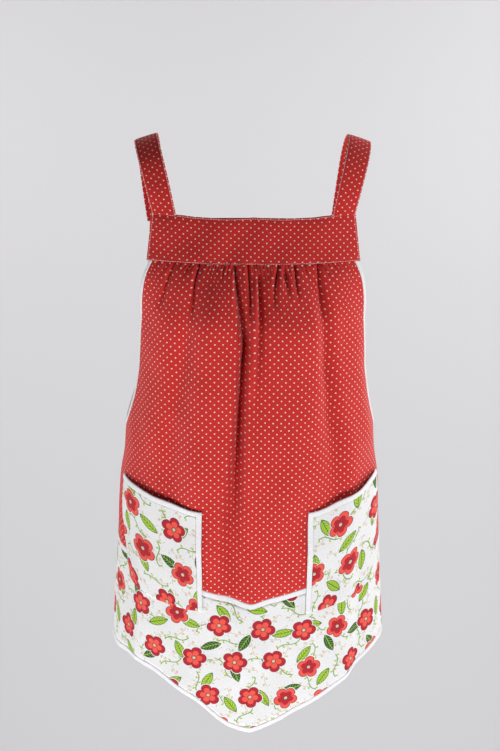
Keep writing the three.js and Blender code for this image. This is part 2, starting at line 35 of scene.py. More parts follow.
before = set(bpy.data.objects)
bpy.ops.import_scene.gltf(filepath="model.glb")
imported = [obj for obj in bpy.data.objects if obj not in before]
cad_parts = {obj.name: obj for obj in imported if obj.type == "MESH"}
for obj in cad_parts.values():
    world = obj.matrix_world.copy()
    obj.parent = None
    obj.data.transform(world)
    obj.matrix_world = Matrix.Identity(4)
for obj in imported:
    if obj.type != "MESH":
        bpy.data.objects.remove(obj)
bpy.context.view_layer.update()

# All shapes below are worked out in millimetres and turned to metres when a mesh is made
MM = 0.001

# Heights below the shoulder line and widths, as the solids have them; pairs are front and back
SIDES = ("front", "back")
YOKE_TOP = (-92, -126)
YOKE_SEAM = (-150, -176)
YOKE_TOP_WIDTH = (270, 290)
YOKE_SEAM_WIDTH = (284, 298)
CORNER_INSET = (4, 0)  # how far inside the yoke's end an armhole starts
UNDERARM = -402
HEM_SIDE = -750
HEM_DIP = 105
BAND_SIDE = -585
BAND_DIP = 57
POINT_CURVE = 1.3
POINT_ROUNDNESS = 0.0006

# The body that the cloth hangs round
SQUARENESS = 2.3
SIDE_SEAM_TURN = 0.98 * math.pi / 2

# Level, half width, depth in front of the side seams and behind them
SECTIONS = (
    (0, 190.2, 40.2, 60.0),
    (92, 190.2, 77.05, 91.2),
    (150, 190.2, 96.48, 105.6),
    (192.84, 175.8, 117.92, 111.6),
    (235.68, 165.9, 131.32, 114.0),
    (296.16, 165.0, 133.33, 108.0),
    (331.44, 168.6, 134.0, 104.4),
    (366.72, 174.0, 134.0, 103.2),
    (402, 179.4, 134.0, 104.4),
    (443.76, 183.45, 134.0, 106.8),
    (489, 191.1, 134.0, 110.4),
    (589.92, 197.85, 134.67, 116.4),
    (750, 210.0, 136.01, 122.4),
    (855, 215.85, 136.68, 123.6),
)

# Share of the way from centre to side seam, and the share of the hem's dip left there
HEM_CURVE = (
    (0, 1, 1),
    (0.07, 0.972, 0.94),
    (0.15, 0.905, 0.86),
    (0.22, 0.79, 0.79),
    (0.3, 0.635, 0.705),
    (0.38, 0.475, 0.61),
    (0.46, 0.345, 0.5),
    (0.54, 0.225, 0.37),
    (0.62, 0.13, 0.27),
    (0.7, 0.09, 0.155),
    (0.78, 0.08, 0.03),
    (0.86, 0.06, 0),
    (1, 0, 0),
)

ARMHOLE_ROUND_SHARE = 0.33
ARMHOLE_ROUND_RISE = 0.25

STRAP_WIDTH = 33
STRAP_SPREAD_SHOULDER = 288
STRAP_SPREAD_FRONT = 237
STRAP_SPREAD_BACK = 268
SHOULDER_SLOPE = math.radians(19)
# End of the strap, reach, drop, spread, slope and bow, as shares
STRAP_PATH = (
    ("front", 1, 1, 1, 0, 1),
    ("front", 0.9, 0.62, 0.68, 0.35, 0.5),
    ("front", 0.68, 0.27, 0.34, 0.75, 0.2),
    ("front", 0.34, 0.06, 0.1, 0.95, 0),
    ("front", 0, 0, 0, 1, 0),
    ("back", 0.34, 0.05, 0.02, 0.95, 0),
    ("back", 0.68, 0.24, 0.14, 0.7, 0.2),
    ("back", 0.9, 0.6, 0.48, 0.3, 0.5),
    ("back", 1, 1, 1, 0, 1),
)

# The pockets, on the left (-1) and on the right (1)
POCKET_MOUTH = {-1: -491, 1: -495}
POCKET_MOUTH_RISE = {-1: 22, 1: 31}
POCKET_HEIGHT = 158
POCKET_BOTTOM_RISE = 24
POCKET_GAPE = {-1: 3.5, 1: 6}
POCKET_FOOT_SHARE = 0.755
POCKET_OUTER_SHARE = 0.845
POCKET_INNER_SHARE = {-1: 0.32, 1: 0.352}
POCKET_LIFT = 2.2

SOLID_CLOTH = 1.2
SOLID_DOUBLED = 2.4
SEAM_GAP = 0.3
SEWN = 0.5  # how far a piece runs in under the one that it is sewn to
ARMHOLE_TAPE = 4.6  # at the yoke
ARMHOLE_TAPE_SPREAD = 2.4  # how much wider it lies under the arm
POCKET_TAPE = 8
BAND_TAPE = 9
HEM_TAPE = 8.5
HEM_TAPE_WAVE = 0.5

# Topstitching: how far it is from an edge, and how far a thread lies off the body on a tape
STITCH_INSET = 1.5
TAPE_STITCH_INSET = 1.4
TAPE_THREAD_LIFT = SOLID_CLOTH / 2 + SOLID_DOUBLED / 2 - 0.25

# How much closer the rows of pin dots lie on the pieces that are cut on the cross grain
YOKE_DOT_ROWS = 1.18
STRAP_DOT_ROWS = 1.1

# Folds of the gathered front, each a path down the cloth: distance below the yoke's seam,
# share of the half front (negative to the left), depth (a valley is negative),
# and the widths of its left and right flanks
FRONT_FOLDS = (
    ((0, -0.255, -9, 2.4, 6), (13, -0.227, -13, 2.7, 8), (29, -0.195, -18, 3, 10),
     (58, -0.145, -21, 3.4, 12), (86, -0.107, -22, 3.8, 13), (106, -0.092, -24, 4, 13),
     (131, -0.1, -26, 4.6, 12), (209, -0.11, -27, 5.6, 12), (250, -0.113, -26, 6.5, 13),
     (293, -0.128, -23, 8.5, 15), (354, -0.144, -18, 12, 19), (430, -0.15, -10, 17, 25),
     (520, -0.15, 0, 24, 30)),
    ((0, -0.09, -6.5, 3, 5), (24, -0.062, -8, 3, 5), (44, -0.044, -7, 3.5, 5),
     (70, -0.03, 0, 5, 6)),
    ((14, 0.008, 0, 4, 4), (30, 0.007, 4.5, 3.5, 3.5), (58, 0.004, 5.5, 4, 4.5),
     (106, -0.01, 5.5, 5, 6), (175, -0.02, 0, 8, 9)),
    ((8, 0.04, 0, 3, 5), (20, 0.04, -7, 3, 6), (40, 0.04, -12, 3, 9), (62, 0.04, -12, 3.6, 11),
     (110, 0.036, -10, 5, 14), (170, 0.03, -7, 8, 17), (230, 0.03, -3, 12, 20),
     (290, 0.03, 0, 16, 22)),
    ((0, -0.42, 0, 34, 30), (60, -0.4, 5, 34, 30), (300, -0.33, 6, 34, 30),
     (520, -0.3, 0, 34, 30)),
    ((20, -0.56, 0, 18, 24), (96, -0.53, -7.5, 14, 22), (190, -0.526, -8, 16, 26),
     (300, -0.5, -7, 20, 30), (460, -0.46, 0, 30, 30)),
    ((10, 0.3, 0, 30, 36), (90, 0.29, 5, 32, 38), (300, 0.26, 6, 34, 38), (540, 0.24, 0, 34, 34)),
    ((5, 0.6, 0, 12, 14), (60, 0.575, -9, 13, 12), (138, 0.545, -12, 15, 13),
     (200, 0.53, -12, 17, 14), (300, 0.53, -8, 20, 17), (400, 0.5, 0, 24, 24)),
    ((60, 0.86, 0, 20, 20), (180, 0.82, 4, 22, 22), (380, 0.75, 0, 22, 22)),
    ((300, -0.82, 0, 15, 15), (400, -0.8, -5, 12, 16), (700, -0.78, -6, 14, 18)),
    ((300, 0.7, 0, 16, 16), (420, 0.69, -5, 13, 18), (700, 0.67, -7, 14, 18)),
    ((0, -0.93, -3, 2.5, 3), (22, -0.95, 0, 4, 4)),
    ((0, -0.86, -3, 2, 3), (26, -0.89, 0, 3, 4)),
    ((0, -0.815, -7, 3, 5), (21, -0.8, -8, 3, 5), (39, -0.79, -6, 3.5, 6), (62, -0.78, 0, 4, 7)),
    ((0, -0.69, -3, 2, 3), (18, -0.7, 0, 3, 3)),
    ((0, -0.61, -8, 3, 5), (24, -0.583, -9, 3, 5), (49, -0.535, -5, 3.5, 6), (72, -0.5, 0, 4, 7)),
    ((0, -0.36, -3, 2, 2.5), (22, -0.35, 0, 3, 3)),
    ((0, 0.292, -7, 4, 3), (3, 0.287, -9, 4, 3), (20, 0.23, -10, 5, 3), (35, 0.2, -6, 6, 4),
     (52, 0.185, 0, 7, 5)),
    ((3, 0.345, 0, 4, 4), (12, 0.34, -8, 6, 4.5), (22, 0.33, -6, 7, 5), (42, 0.315, 0, 8, 6)),
    ((0, 0.468, -6, 3, 4), (4, 0.458, -7.5, 3, 4), (24, 0.419, -7.5, 3, 4), (44, 0.39, 0, 4, 6)),
    ((0, 0.685, -7, 3, 4), (3, 0.678, -9, 3, 4), (26, 0.625, -10, 3, 5), (47, 0.59, -6, 4, 6),
     (75, 0.565, 0, 5, 7)),
    ((0, 0.56, -4, 2, 3), (24, 0.54, 0, 3, 3)),
    ((0, 0.71, -3.5, 2, 3), (28, 0.75, 0, 3, 4)),
    ((0, 0.87, -3, 2, 2.5), (28, 0.9, 0, 3, 3)),
    # Short gathers between them, every 6 mm or so
    *(
        (
            (0, at, -2.8 - 1.1 * math.sin(5.7 * k) - 0.8 * max(at, 0), 2, 1.5),
            (11 + 9 * math.sin(3.1 * k) ** 2, at * 1.02, 0, 3, 2.2),
        )
        for k, at in ((k, -0.965 + 0.0345 * k + 0.009 * math.sin(7.3 * k)) for k in range(57))
    ),
)

# The plain back hangs in three soft folds, with light gathers below its yoke
BACK_FOLDS = (
    ((40, -0.5, 0, 34, 34), (220, -0.52, 4, 34, 34), (480, -0.54, 4, 34, 34), (680, -0.55, 0, 34, 34)),
    ((40, 0, 0, 36, 36), (220, 0, 4.5, 36, 36), (480, 0, 4.5, 36, 36), (680, 0, 0, 36, 36)),
    ((40, 0.5, 0, 34, 34), (220, 0.52, 4, 34, 34), (480, 0.54, 4, 34, 34), (680, 0.55, 0, 34, 34)),
    *(
        ((0, at, -2.4, 2.5, 3), (reach, at * 1.04, 0, 5, 5))
        for at, reach in (
            (-0.88, 40), (-0.74, 60), (-0.62, 34), (-0.47, 55), (-0.35, 30), (-0.2, 62), (-0.07, 36),
            (0.08, 58), (0.2, 34), (0.34, 60), (0.48, 32), (0.6, 56), (0.75, 38), (0.87, 52),
        )
    ),
)


def srgb(code):
    """Turns an sRGB hex colour to the linear colour that Blender works with."""
    parts = [int(code[i : i + 2], 16) / 255 for i in (0, 2, 4)]
    return tuple(p / 12.92 if p <= 0.04045 else ((p + 0.055) / 1.055) ** 2.4 for p in parts)


# The shape of the body and its cloth


def smooth_column(rows, column):
    """Smooth value of one column of a table at a place along its first, without overshoot."""
    at = np.array([row[0] for row in rows], float)
    value = np.array([row[column] for row in rows], float)
    slope = np.diff(value) / np.diff(at)
    before, after = np.append(slope[0], slope), np.append(slope, slope[-1])
    same = before * after > 0
    tangent = np.where(same, 2 * before * after / np.where(same, before + after, 1), 0)

    def read(x):
        inside = np.clip(x, at[0], at[-1])
        i = np.clip(np.searchsorted(at, inside), 1, len(at) - 1)
        span = at[i] - at[i - 1]
        t = (inside - at[i - 1]) / span
        rise = t * t * (3 - 2 * t)
        lead = t * (1 - t) ** 2 * span * tangent[i - 1]
        trail = t * t * (1 - t) * span * tangent[i]
        return value[i - 1] + (value[i] - value[i - 1]) * rise + lead - trail

    return read


half_width_at = smooth_column(SECTIONS, 1)
front_at = smooth_column(SECTIONS, 2)
back_at = smooth_column(SECTIONS, 3)
hem_left = smooth_column(HEM_CURVE, 1)
hem_right = smooth_column(HEM_CURVE, 2)


def body_point(turn, z):
    """Points of the unfolded body at turns from straight ahead and heights."""
    turn, z = np.broadcast_arrays(np.asarray(turn, float), np.asarray(z, float))
    depth = np.where(np.cos(turn) > 0, front_at(-z), back_at(-z))
    side = (np.abs(np.sin(turn)) / half_width_at(-z)) ** SQUARENESS
    ahead = (np.abs(np.cos(turn)) / depth) ** SQUARENESS
    radius = (side + ahead) ** (-1 / SQUARENESS)
    return np.stack([radius * np.sin(turn), -radius * np.cos(turn), z], -1)


def turn_at_width(half_width, z, is_back):
    """Turn at which the body has a given half width, on its front or back."""
    depth = back_at(-z) if is_back else front_at(-z)
    rest = 1 - (half_width / half_width_at(-z)) ** SQUARENESS
    ahead = depth * np.maximum(rest, 0) ** (1 / SQUARENESS)
    return np.arctan2(half_width, -ahead if is_back else ahead)


def girth_per_radian(turn, z):
    step = 0.01
    return np.linalg.norm(body_point(turn + step, z) - body_point(turn - step, z), axis=-1) / (2 * step)


def half_girth(z, is_back):
    middle = np.where(is_back, back_at(-z), front_at(-z))
    return math.pi / 2 * np.sqrt((half_width_at(-z) ** 2 + middle**2) / 2)


# Height and turn of an armhole's upper end, in front and behind
CORNERS = [
    (YOKE_SEAM[k], float(turn_at_width(YOKE_SEAM_WIDTH[k] / 2 - CORNER_INSET[k], YOKE_SEAM[k], bool(k))))
    for k in (0, 1)
]


def edge_turn(z, is_back):
    """Turn of the cloth's cut edge: the side seam below the underarm, the armhole above it."""
    top, corner = CORNERS[is_back]
    q = np.clip((z - UNDERARM) / (top - UNDERARM), 0, 1)
    round_part = np.minimum(q / ARMHOLE_ROUND_RISE, 1)
    opened = ARMHOLE_ROUND_SHARE * np.sqrt(1 - (1 - round_part) ** 2) + (1 - ARMHOLE_ROUND_SHARE) * q
    return SIDE_SEAM_TURN + (corner - SIDE_SEAM_TURN) * opened


def whole_turn(z, is_back):
    """Turn that a whole share of a half panel reaches, were its armhole cut straight."""
    top, corner = CORNERS[is_back]
    turn = SIDE_SEAM_TURN + (corner - SIDE_SEAM_TURN) * (z - UNDERARM) / (top - UNDERARM)
    return math.pi - np.maximum(turn, SIDE_SEAM_TURN) if is_back else np.minimum(turn, SIDE_SEAM_TURN)


def fold_offset(share, z, folds, seam, is_back):
    """How far the folds stand off the body: each is a bell across the cloth with uneven flanks."""
    below = seam - z
    girth = half_girth(z, is_back)
    offset = np.zeros(np.broadcast(share, z).shape)
    for fold in folds:
        down, at, depth, left, right = np.array(fold, float).T
        across = (share - np.interp(below, down, at)) * girth
        flank = np.where(across < 0, np.interp(below, down, left), np.interp(below, down, right))
        deep = np.where((below < down[0]) | (below > down[-1]), 0, np.interp(below, down, depth))
        offset += deep * np.exp(-((across / flank) ** 2))
    return offset


def unevenness(turn, z):
    """Slow waves of about a millimetre, which no worn cloth is without."""
    x = turn * 170
    return (
        0.9 * np.sin(x / 21 + z / 61 + 1.3)
        + 0.8 * np.sin(x / 14 - z / 47 + 0.4 + 0.8 * np.sin(z / 53))
        + 0.4 * np.sin(x / 8.5 + z / 33 + 2.1 + np.sin(z / 29))
        + 0.5 * np.sin(x / 33 - z / 17.5 + 4)
        + 0.2 * np.sin(x / 11 + z / 9.5 + 2 * np.sin(x / 37))
    )


def outward_of(around):
    """Level directions out of the body, given the directions around it."""
    around /= np.linalg.norm(around, axis=-1, keepdims=True)
    return np.stack([around[..., 1], -around[..., 0], 0 * around[..., 0]], -1)


def folded_point(turn, z):
    """Points of the folded cloth."""
    turn, z = np.broadcast_arrays(np.asarray(turn, float), np.asarray(z, float))
    step = 0.02
    outward = outward_of(body_point(turn + step, z) - body_point(turn - step, z))
    offset = np.zeros(turn.shape)
    for is_back, folds in enumerate((FRONT_FOLDS, BACK_FOLDS)):
        here = (np.abs(turn) > SIDE_SEAM_TURN) == is_back
        if here.any():
            t, h = turn[here], z[here]
            own = np.sign(t) * (math.pi - np.abs(t)) if is_back else t
            share = np.clip(own / whole_turn(h, is_back), -1, 1)
            seam = YOKE_SEAM[is_back]
            below = np.maximum(seam - h, 0)
            puff = np.where(h < seam, 1.5 + 2.2 * (1 - np.exp(-below / 9)), 0) * np.exp(-below / 60)
            folded = fold_offset(share, h, folds, seam, is_back) + puff
            offset[here] = (1 - share**8) * (folded + unevenness(t, h) * np.clip(below / 20, 0.3, 1))
    return body_point(turn, z) + outward * offset[..., None]


def cloth_frame(turn, z, lift=0.0):
    """Points at a level distance off the folded cloth, and the level directions out of it."""
    step = 0.006
    outward = outward_of(folded_point(turn + step, z) - folded_point(turn - step, z))
    return folded_point(turn, z) + outward * np.asarray(lift)[..., None], outward


def armhole_edge(way, is_back):
    """The armhole's edge from the underarm (way 0) up to the yoke's corner (way 1)."""
    top = YOKE_SEAM[is_back] - SEAM_GAP
    z = UNDERARM + (top - UNDERARM) * (1 - np.cos(math.pi * way)) / 2
    return edge_turn(z, is_back), z


def armhole_tape_at(way):
    return ARMHOLE_TAPE + ARMHOLE_TAPE_SPREAD * (1 - way)


def armhole_inset(way, is_back, distance):
    """The same edge moved into the cloth by a distance."""
    turn, z = armhole_edge(way, is_back)
    inwards = 1 if is_back else -1
    girth = girth_per_radian(turn, z)
    step, end = 0.01, 1e-6
    before = armhole_edge(np.clip(way - step, 0, 1), is_back)
    after = armhole_edge(np.clip(way + step, 0, 1), is_back)
    along_turn = np.where(way > 1 - end, 0, np.abs(after[0] - before[0]) * girth)
    along_height = np.where(way < end, 0, after[1] - before[1])
    length = np.maximum(np.hypot(along_turn, along_height), 1e-9)
    return (
        turn + inwards * distance * along_height / (length * girth),
        z - distance * along_turn / length,
    )


def pointed(share):
    """Share of a point's dip that is left at a share of the way from the middle to the side seam."""
    return (1 - np.minimum(np.sqrt(share * share + POINT_ROUNDNESS), 1)) ** POINT_CURVE


def band_top_at(share):
    return BAND_SIDE - BAND_DIP * pointed(share)


def hem_at(share, is_back):
    if is_back:
        return HEM_SIDE - HEM_DIP * pointed(share)
    return HEM_SIDE - HEM_DIP * np.where(share < 0, hem_left(-share), hem_right(share))


def column_turn(share, end_turn, z, is_back):
    whole = whole_turn(z, is_back)
    cut = whole - (math.pi - end_turn if is_back else end_turn)
    turn = share * whole - np.sign(share) * share**4 * cut
    return math.pi - turn if is_back else turn


def panel_shares(is_back, columns):
    """Shares from left to right in front, and from right to left behind."""
    return np.linspace(1, -1, columns) if is_back else np.linspace(-1, 1, columns)


def centre_length(z):
    """Length down the middle of the front from the shoulder line to a height."""
    down = np.linspace(0, 900, 901)
    run = np.append(0, np.cumsum(np.hypot(1, np.diff(front_at(down)))))
    return np.interp(-z, down, run)


def run_along(points):
    """Length along each row of points from its first one."""
    steps = np.linalg.norm(np.diff(points, axis=-2), axis=-1)
    return np.insert(np.cumsum(steps, -1), 0, 0, -1)


def flat_sheet(across, down, start=(0, 0)):
    """Places on the flat cut, in metres, of points so far across and down it."""
    return np.stack(np.broadcast_arrays(across, down), -1) * MM + np.array(start)


def flat_place(turn, z, is_back, start=(0, 0)):
    """Place of each point on the flat cut: the gathers hide some of its width."""
    across = run_along(body_point(turn, z)[..., :2])
    across = across - across[:, across.shape[1] // 2, None]
    if not is_back:
        below = YOKE_SEAM[0] - z
        spread = 1.5 + np.maximum(below, 0) * 0.08
        for fold in FRONT_FOLDS:
            if fold[0][0] == 0 and fold[0][2] < -4.5:
                down, at = np.array(fold, float).T[:2]
                place = np.interp(below, down, at) * half_girth(z, False)
                hidden = 1.1 * -fold[0][2] * np.exp(-((below / 60) ** 2))
                across = across + hidden / 2 * np.tanh((across - place) / spread)
    return flat_sheet(across, -centre_length(z), start)


# Making meshes


def places(count, size, ends=(0, 0.25, 0.7, 1.4)):
    """Places from 0 to 1 along a size, with extra ones where its ends are rounded."""
    near = np.array(ends) / size
    inner = np.linspace(near[-1], 1 - near[-1], count)
    return np.concatenate([near[:-1], inner, 1 - near[:-1][::-1]])


def edge_distance(ways, size):
    return np.minimum(ways, 1 - ways) * size


def rolled(distance, half=SOLID_DOUBLED / 2):
    """Half thickness at a distance from a folded edge, where the cloth rolls over."""
    way = np.clip(distance / (1.3 * half), 0, 1)
    return half * (0.12 + 0.88 * np.sqrt(1 - (1 - way) ** 2))


def stitch_groove(edge, depth):
    return depth * np.exp(-(((edge - STITCH_INSET) / 0.8) ** 2))


def pucker(along):
    """Small cross puckers that a sewn tape or fold has, in millimetres."""
    return 0.16 * np.sin(along / 1.15) * np.sin(along / 5.3) + 0.14 * np.sin(along / 2.9 + 1)


def settle(name, mesh, slot, *nodes):
    """The piece rides on the apron's one body and stands for its solids."""
    mesh.polygons.foreach_set("use_smooth", np.ones(len(mesh.polygons), bool))
    piece = bpy.data.objects.new(name, mesh)
    bpy.context.scene.collection.objects.link(piece)
    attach(piece, "root")
    if nodes:
        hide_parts(*nodes)
    return piece


def add_wall(looks, name, node, slot, middle, outward, half, flat, looped=False):
    """A closed wall of cloth. Rows of the grids run down and columns to the right, seen from outside."""
    rows, columns = middle.shape[:2]
    thick = np.broadcast_to(half, (rows, columns))[..., None]
    off = outward * thick
    points = np.concatenate([(middle + off).reshape(-1, 3), (middle - off).reshape(-1, 3)])
    number = np.arange(rows * columns).reshape(rows, columns)
    if looped:
        number = np.concatenate([number, number[:, :1]], 1)
    place = np.arange(number.size).reshape(number.shape)
    back = rows * columns

    def quads(grid):
        return np.stack([grid[:-1, :-1], grid[1:, :-1], grid[1:, 1:], grid[:-1, 1:]], -1).reshape(-1, 4)

    face_parts = [quads(number), quads(number)[:, ::-1] + back]
    flat_parts = [quads(place), quads(place)[:, ::-1]]
    borders = [(number[0, :], place[0, :]), (number[-1, ::-1], place[-1, ::-1])]
    if not looped:
        borders += [(number[::-1, 0], place[::-1, 0]), (number[:, -1], place[:, -1])]
    for edge, where in borders:
        face_parts.append(np.stack([edge[:-1], edge[1:], edge[1:] + back, edge[:-1] + back], -1))
        flat_parts.append(np.stack([where[:-1], where[1:], where[1:], where[:-1]], -1))
    corners = flat.reshape(-1, 2)[np.concatenate(flat_parts).ravel()]
    mesh = bpy.data.meshes.new(name)
    mesh.from_pydata((points * MM).tolist(), [], np.concatenate(face_parts).tolist())
    mesh.uv_layers.new(name="flat_cut").data.foreach_set("uv", corners.astype(np.float32).ravel())
    mesh.materials.append(material_named(CLOTHS[slot], looks))
    mesh.validate()
    return settle(name, mesh, slot, node)


# Materials


def add_node(tree, kind, inputs=(), output=0, **settings):
    """Adds a node with its settings, values and links, and gives one of its outputs."""
    made = tree.nodes.new(kind)
    for name, value in settings.items():
        setattr(made, name, value)
    for key, value in inputs.items() if isinstance(inputs, dict) else enumerate(inputs):
        if isinstance(value, bpy.types.NodeSocket):
            tree.links.new(value, made.inputs[key])
        else:
            made.inputs[key].default_value = value
    return made.outputs[output] if made.outputs else None


def work_out(tree, known, steps, **numbers):
    """Adds a math node for each line of steps, which gives its result, operation and terms."""
    known.update(numbers)
    for line in steps.strip().splitlines():
        result, operation, *terms = line.split()
        terms = [known[term] if term in known else float(term) for term in terms]
        known[result] = add_node(tree, "ShaderNodeMath", terms, operation=operation)


def lay_inks(tree, known, ground, *inks):
    """Lays one colour after another over the ground, each where its mask is 1."""
    for mask, colour in inks:
        mixed = {0: known[mask], 6: ground, 7: colour}
        ground = add_node(tree, "ShaderNodeMix", mixed, output=2, data_type="RGBA")
    return ground


def new_material(name):
    material = bpy.data.materials.new(name)
    material.use_nodes = True
    material.node_tree.nodes.clear()
    return material, material.node_tree


def cut_material(name):
    """A new material, and its flat cut's place across and down in millimetres."""
    material, tree = new_material(name)
    flat = add_node(tree, "ShaderNodeUVMap", uv_map="flat_cut")
    flat = add_node(tree, "ShaderNodeVectorMath", {0: flat, "Scale": 1000}, operation="SCALE")
    u, v, _ = add_node(tree, "ShaderNodeSeparateXYZ", (flat,)).node.outputs
    return material, tree, {"u": u, "v": v, "flat": flat}


def finish_cotton(tree, known, colour, roughness, sheen, crumple):
    """Woven cotton: threads, small creases and a slightly uneven dye over a colour, with painted shade
    between the threads and painted light on their crowns.
    """
    # Threads are about 0.3 mm apart, drawn at 0.8 mm so that they show
    work_out(tree, known, """
        warp MULTIPLY u thread_rate
        weft MULTIPLY v thread_rate
        warp_wave SINE warp
        weft_wave SINE weft
        weave MULTIPLY warp_wave weft_wave
    """, thread_rate=2 * math.pi / 0.8)
    flat, weave = known["flat"], known["weave"]
    crease = add_node(
        tree, "ShaderNodeTexNoise", {"Vector": flat, "Scale": 0.06, "Detail": 5, "Roughness": 0.55}
    )
    blotch = add_node(tree, "ShaderNodeTexNoise", {"Vector": flat, "Scale": 0.35, "Detail": 3})
    # Each range is turned into shares of the colour, from 0.93 to 1.05 and from 0.95 to 1.03. The second
    # follows the weave's bump: painted shade where the threads sink and painted light where they rise.
    shade = add_node(tree, "ShaderNodeMapRange", (blotch, 0.3, 0.7, 0.93, 1.05))
    thread = add_node(tree, "ShaderNodeMapRange", (weave, -1, 1, 0.95, 1.03))
    both = add_node(tree, "ShaderNodeMath", (shade, thread), operation="MULTIPLY")
    uneven = add_node(tree, "ShaderNodeVectorMath", {0: colour, "Scale": both}, operation="SCALE")
    height = add_node(tree, "ShaderNodeMath", (crease, crumple, weave), operation="MULTIPLY_ADD")
    bump = add_node(tree, "ShaderNodeBump", {"Strength": 0.35, "Distance": 0.00012, "Height": height})
    cloth = add_node(tree, "ShaderNodeBsdfPrincipled", {
        "Base Color": uneven, "Roughness": roughness, "Normal": bump,
        "Specular IOR Level": 0.25, "Sheen Weight": sheen, "Sheen Roughness": 0.5,
    })
    add_node(tree, "ShaderNodeOutputMaterial", (cloth,))


def dotted_cotton(name, looks):
    """Plain-woven quilting cotton, piece-dyed red and printed with pin dots: matt and even,
    with small white dots on a square lattice that stands on its corner."""
    material, tree, known = cut_material(name)
    pitch = looks.dot_pitch / MM
    known["wobble"] = add_node(
        tree, "ShaderNodeTexNoise", {"Vector": known["flat"], "Scale": 0.9, "Detail": 1}
    )
    work_out(tree, known, """
        sum ADD u v
        difference SUBTRACT u v
        a MULTIPLY sum rate
        b MULTIPLY difference rate
        a_part FRACT a
        b_part FRACT b
        x SUBTRACT a_part 0.5
        y SUBTRACT b_part 0.5
        xx MULTIPLY x x
        yy MULTIPLY y y
        square ADD xx yy
        distance SQRT square
        ragged MULTIPLY_ADD wobble 0.06 -0.03
        reach ADD distance ragged
        dot LESS_THAN reach radius
    """, rate=1 / (math.sqrt(2) * pitch), radius=looks.dot_diameter / MM / 2 / pitch)
    colour = lay_inks(tree, known, (*looks.red, 1), ("dot", (*looks.dot_white, 1)))
    finish_cotton(tree, known, colour, 0.82, 0.12, 3)
    return material


def motif_cells(tree, known, size, angle, jitter, seed):
    """Staggered cells across the cloth, each with its own place, turn and random numbers."""
    turned, lean = math.cos(angle) / size, math.sin(angle) / size
    work_out(tree, known, """
        right MULTIPLY u turned
        right_2 MULTIPLY_ADD v lean right
        up MULTIPLY u lean_down
        up_2 MULTIPLY_ADD v turned up
        row FLOOR up_2
        stagger MULTIPLY_ADD row 0.47 right_2
        column FLOOR stagger
        x_part FRACT stagger
        y_part FRACT up_2
    """, turned=turned, lean=lean, lean_down=-lean)
    cell = add_node(tree, "ShaderNodeCombineXYZ", (known["column"], known["row"], seed))
    chance = add_node(tree, "ShaderNodeTexWhiteNoise", {"Vector": cell}).node.outputs
    known["chance"] = chance["Value"]
    apart = add_node(tree, "ShaderNodeSeparateXYZ", (chance["Color"],)).node.outputs
    known["r1"], known["r2"], known["r3"] = apart
    work_out(tree, known, """
        x_centred SUBTRACT x_part 0.5
        y_centred SUBTRACT y_part 0.5
        x_away MULTIPLY_ADD r1 jitter jitter_back
        y_away MULTIPLY_ADD r2 jitter jitter_back
        x_moved ADD x_centred x_away
        y_moved ADD y_centred y_away
        x_cell MULTIPLY x_moved size
        y_cell MULTIPLY y_moved size
        spin MULTIPLY r3 whole_spin
        cos COSINE spin
        sin SINE spin
        xc MULTIPLY x_cell cos
        ys MULTIPLY y_cell sin
        xs MULTIPLY x_cell sin
        yc MULTIPLY y_cell cos
        x SUBTRACT xc ys
        y ADD xs yc
    """, jitter=jitter, jitter_back=-jitter / 2, size=size, whole_spin=2 * math.pi)


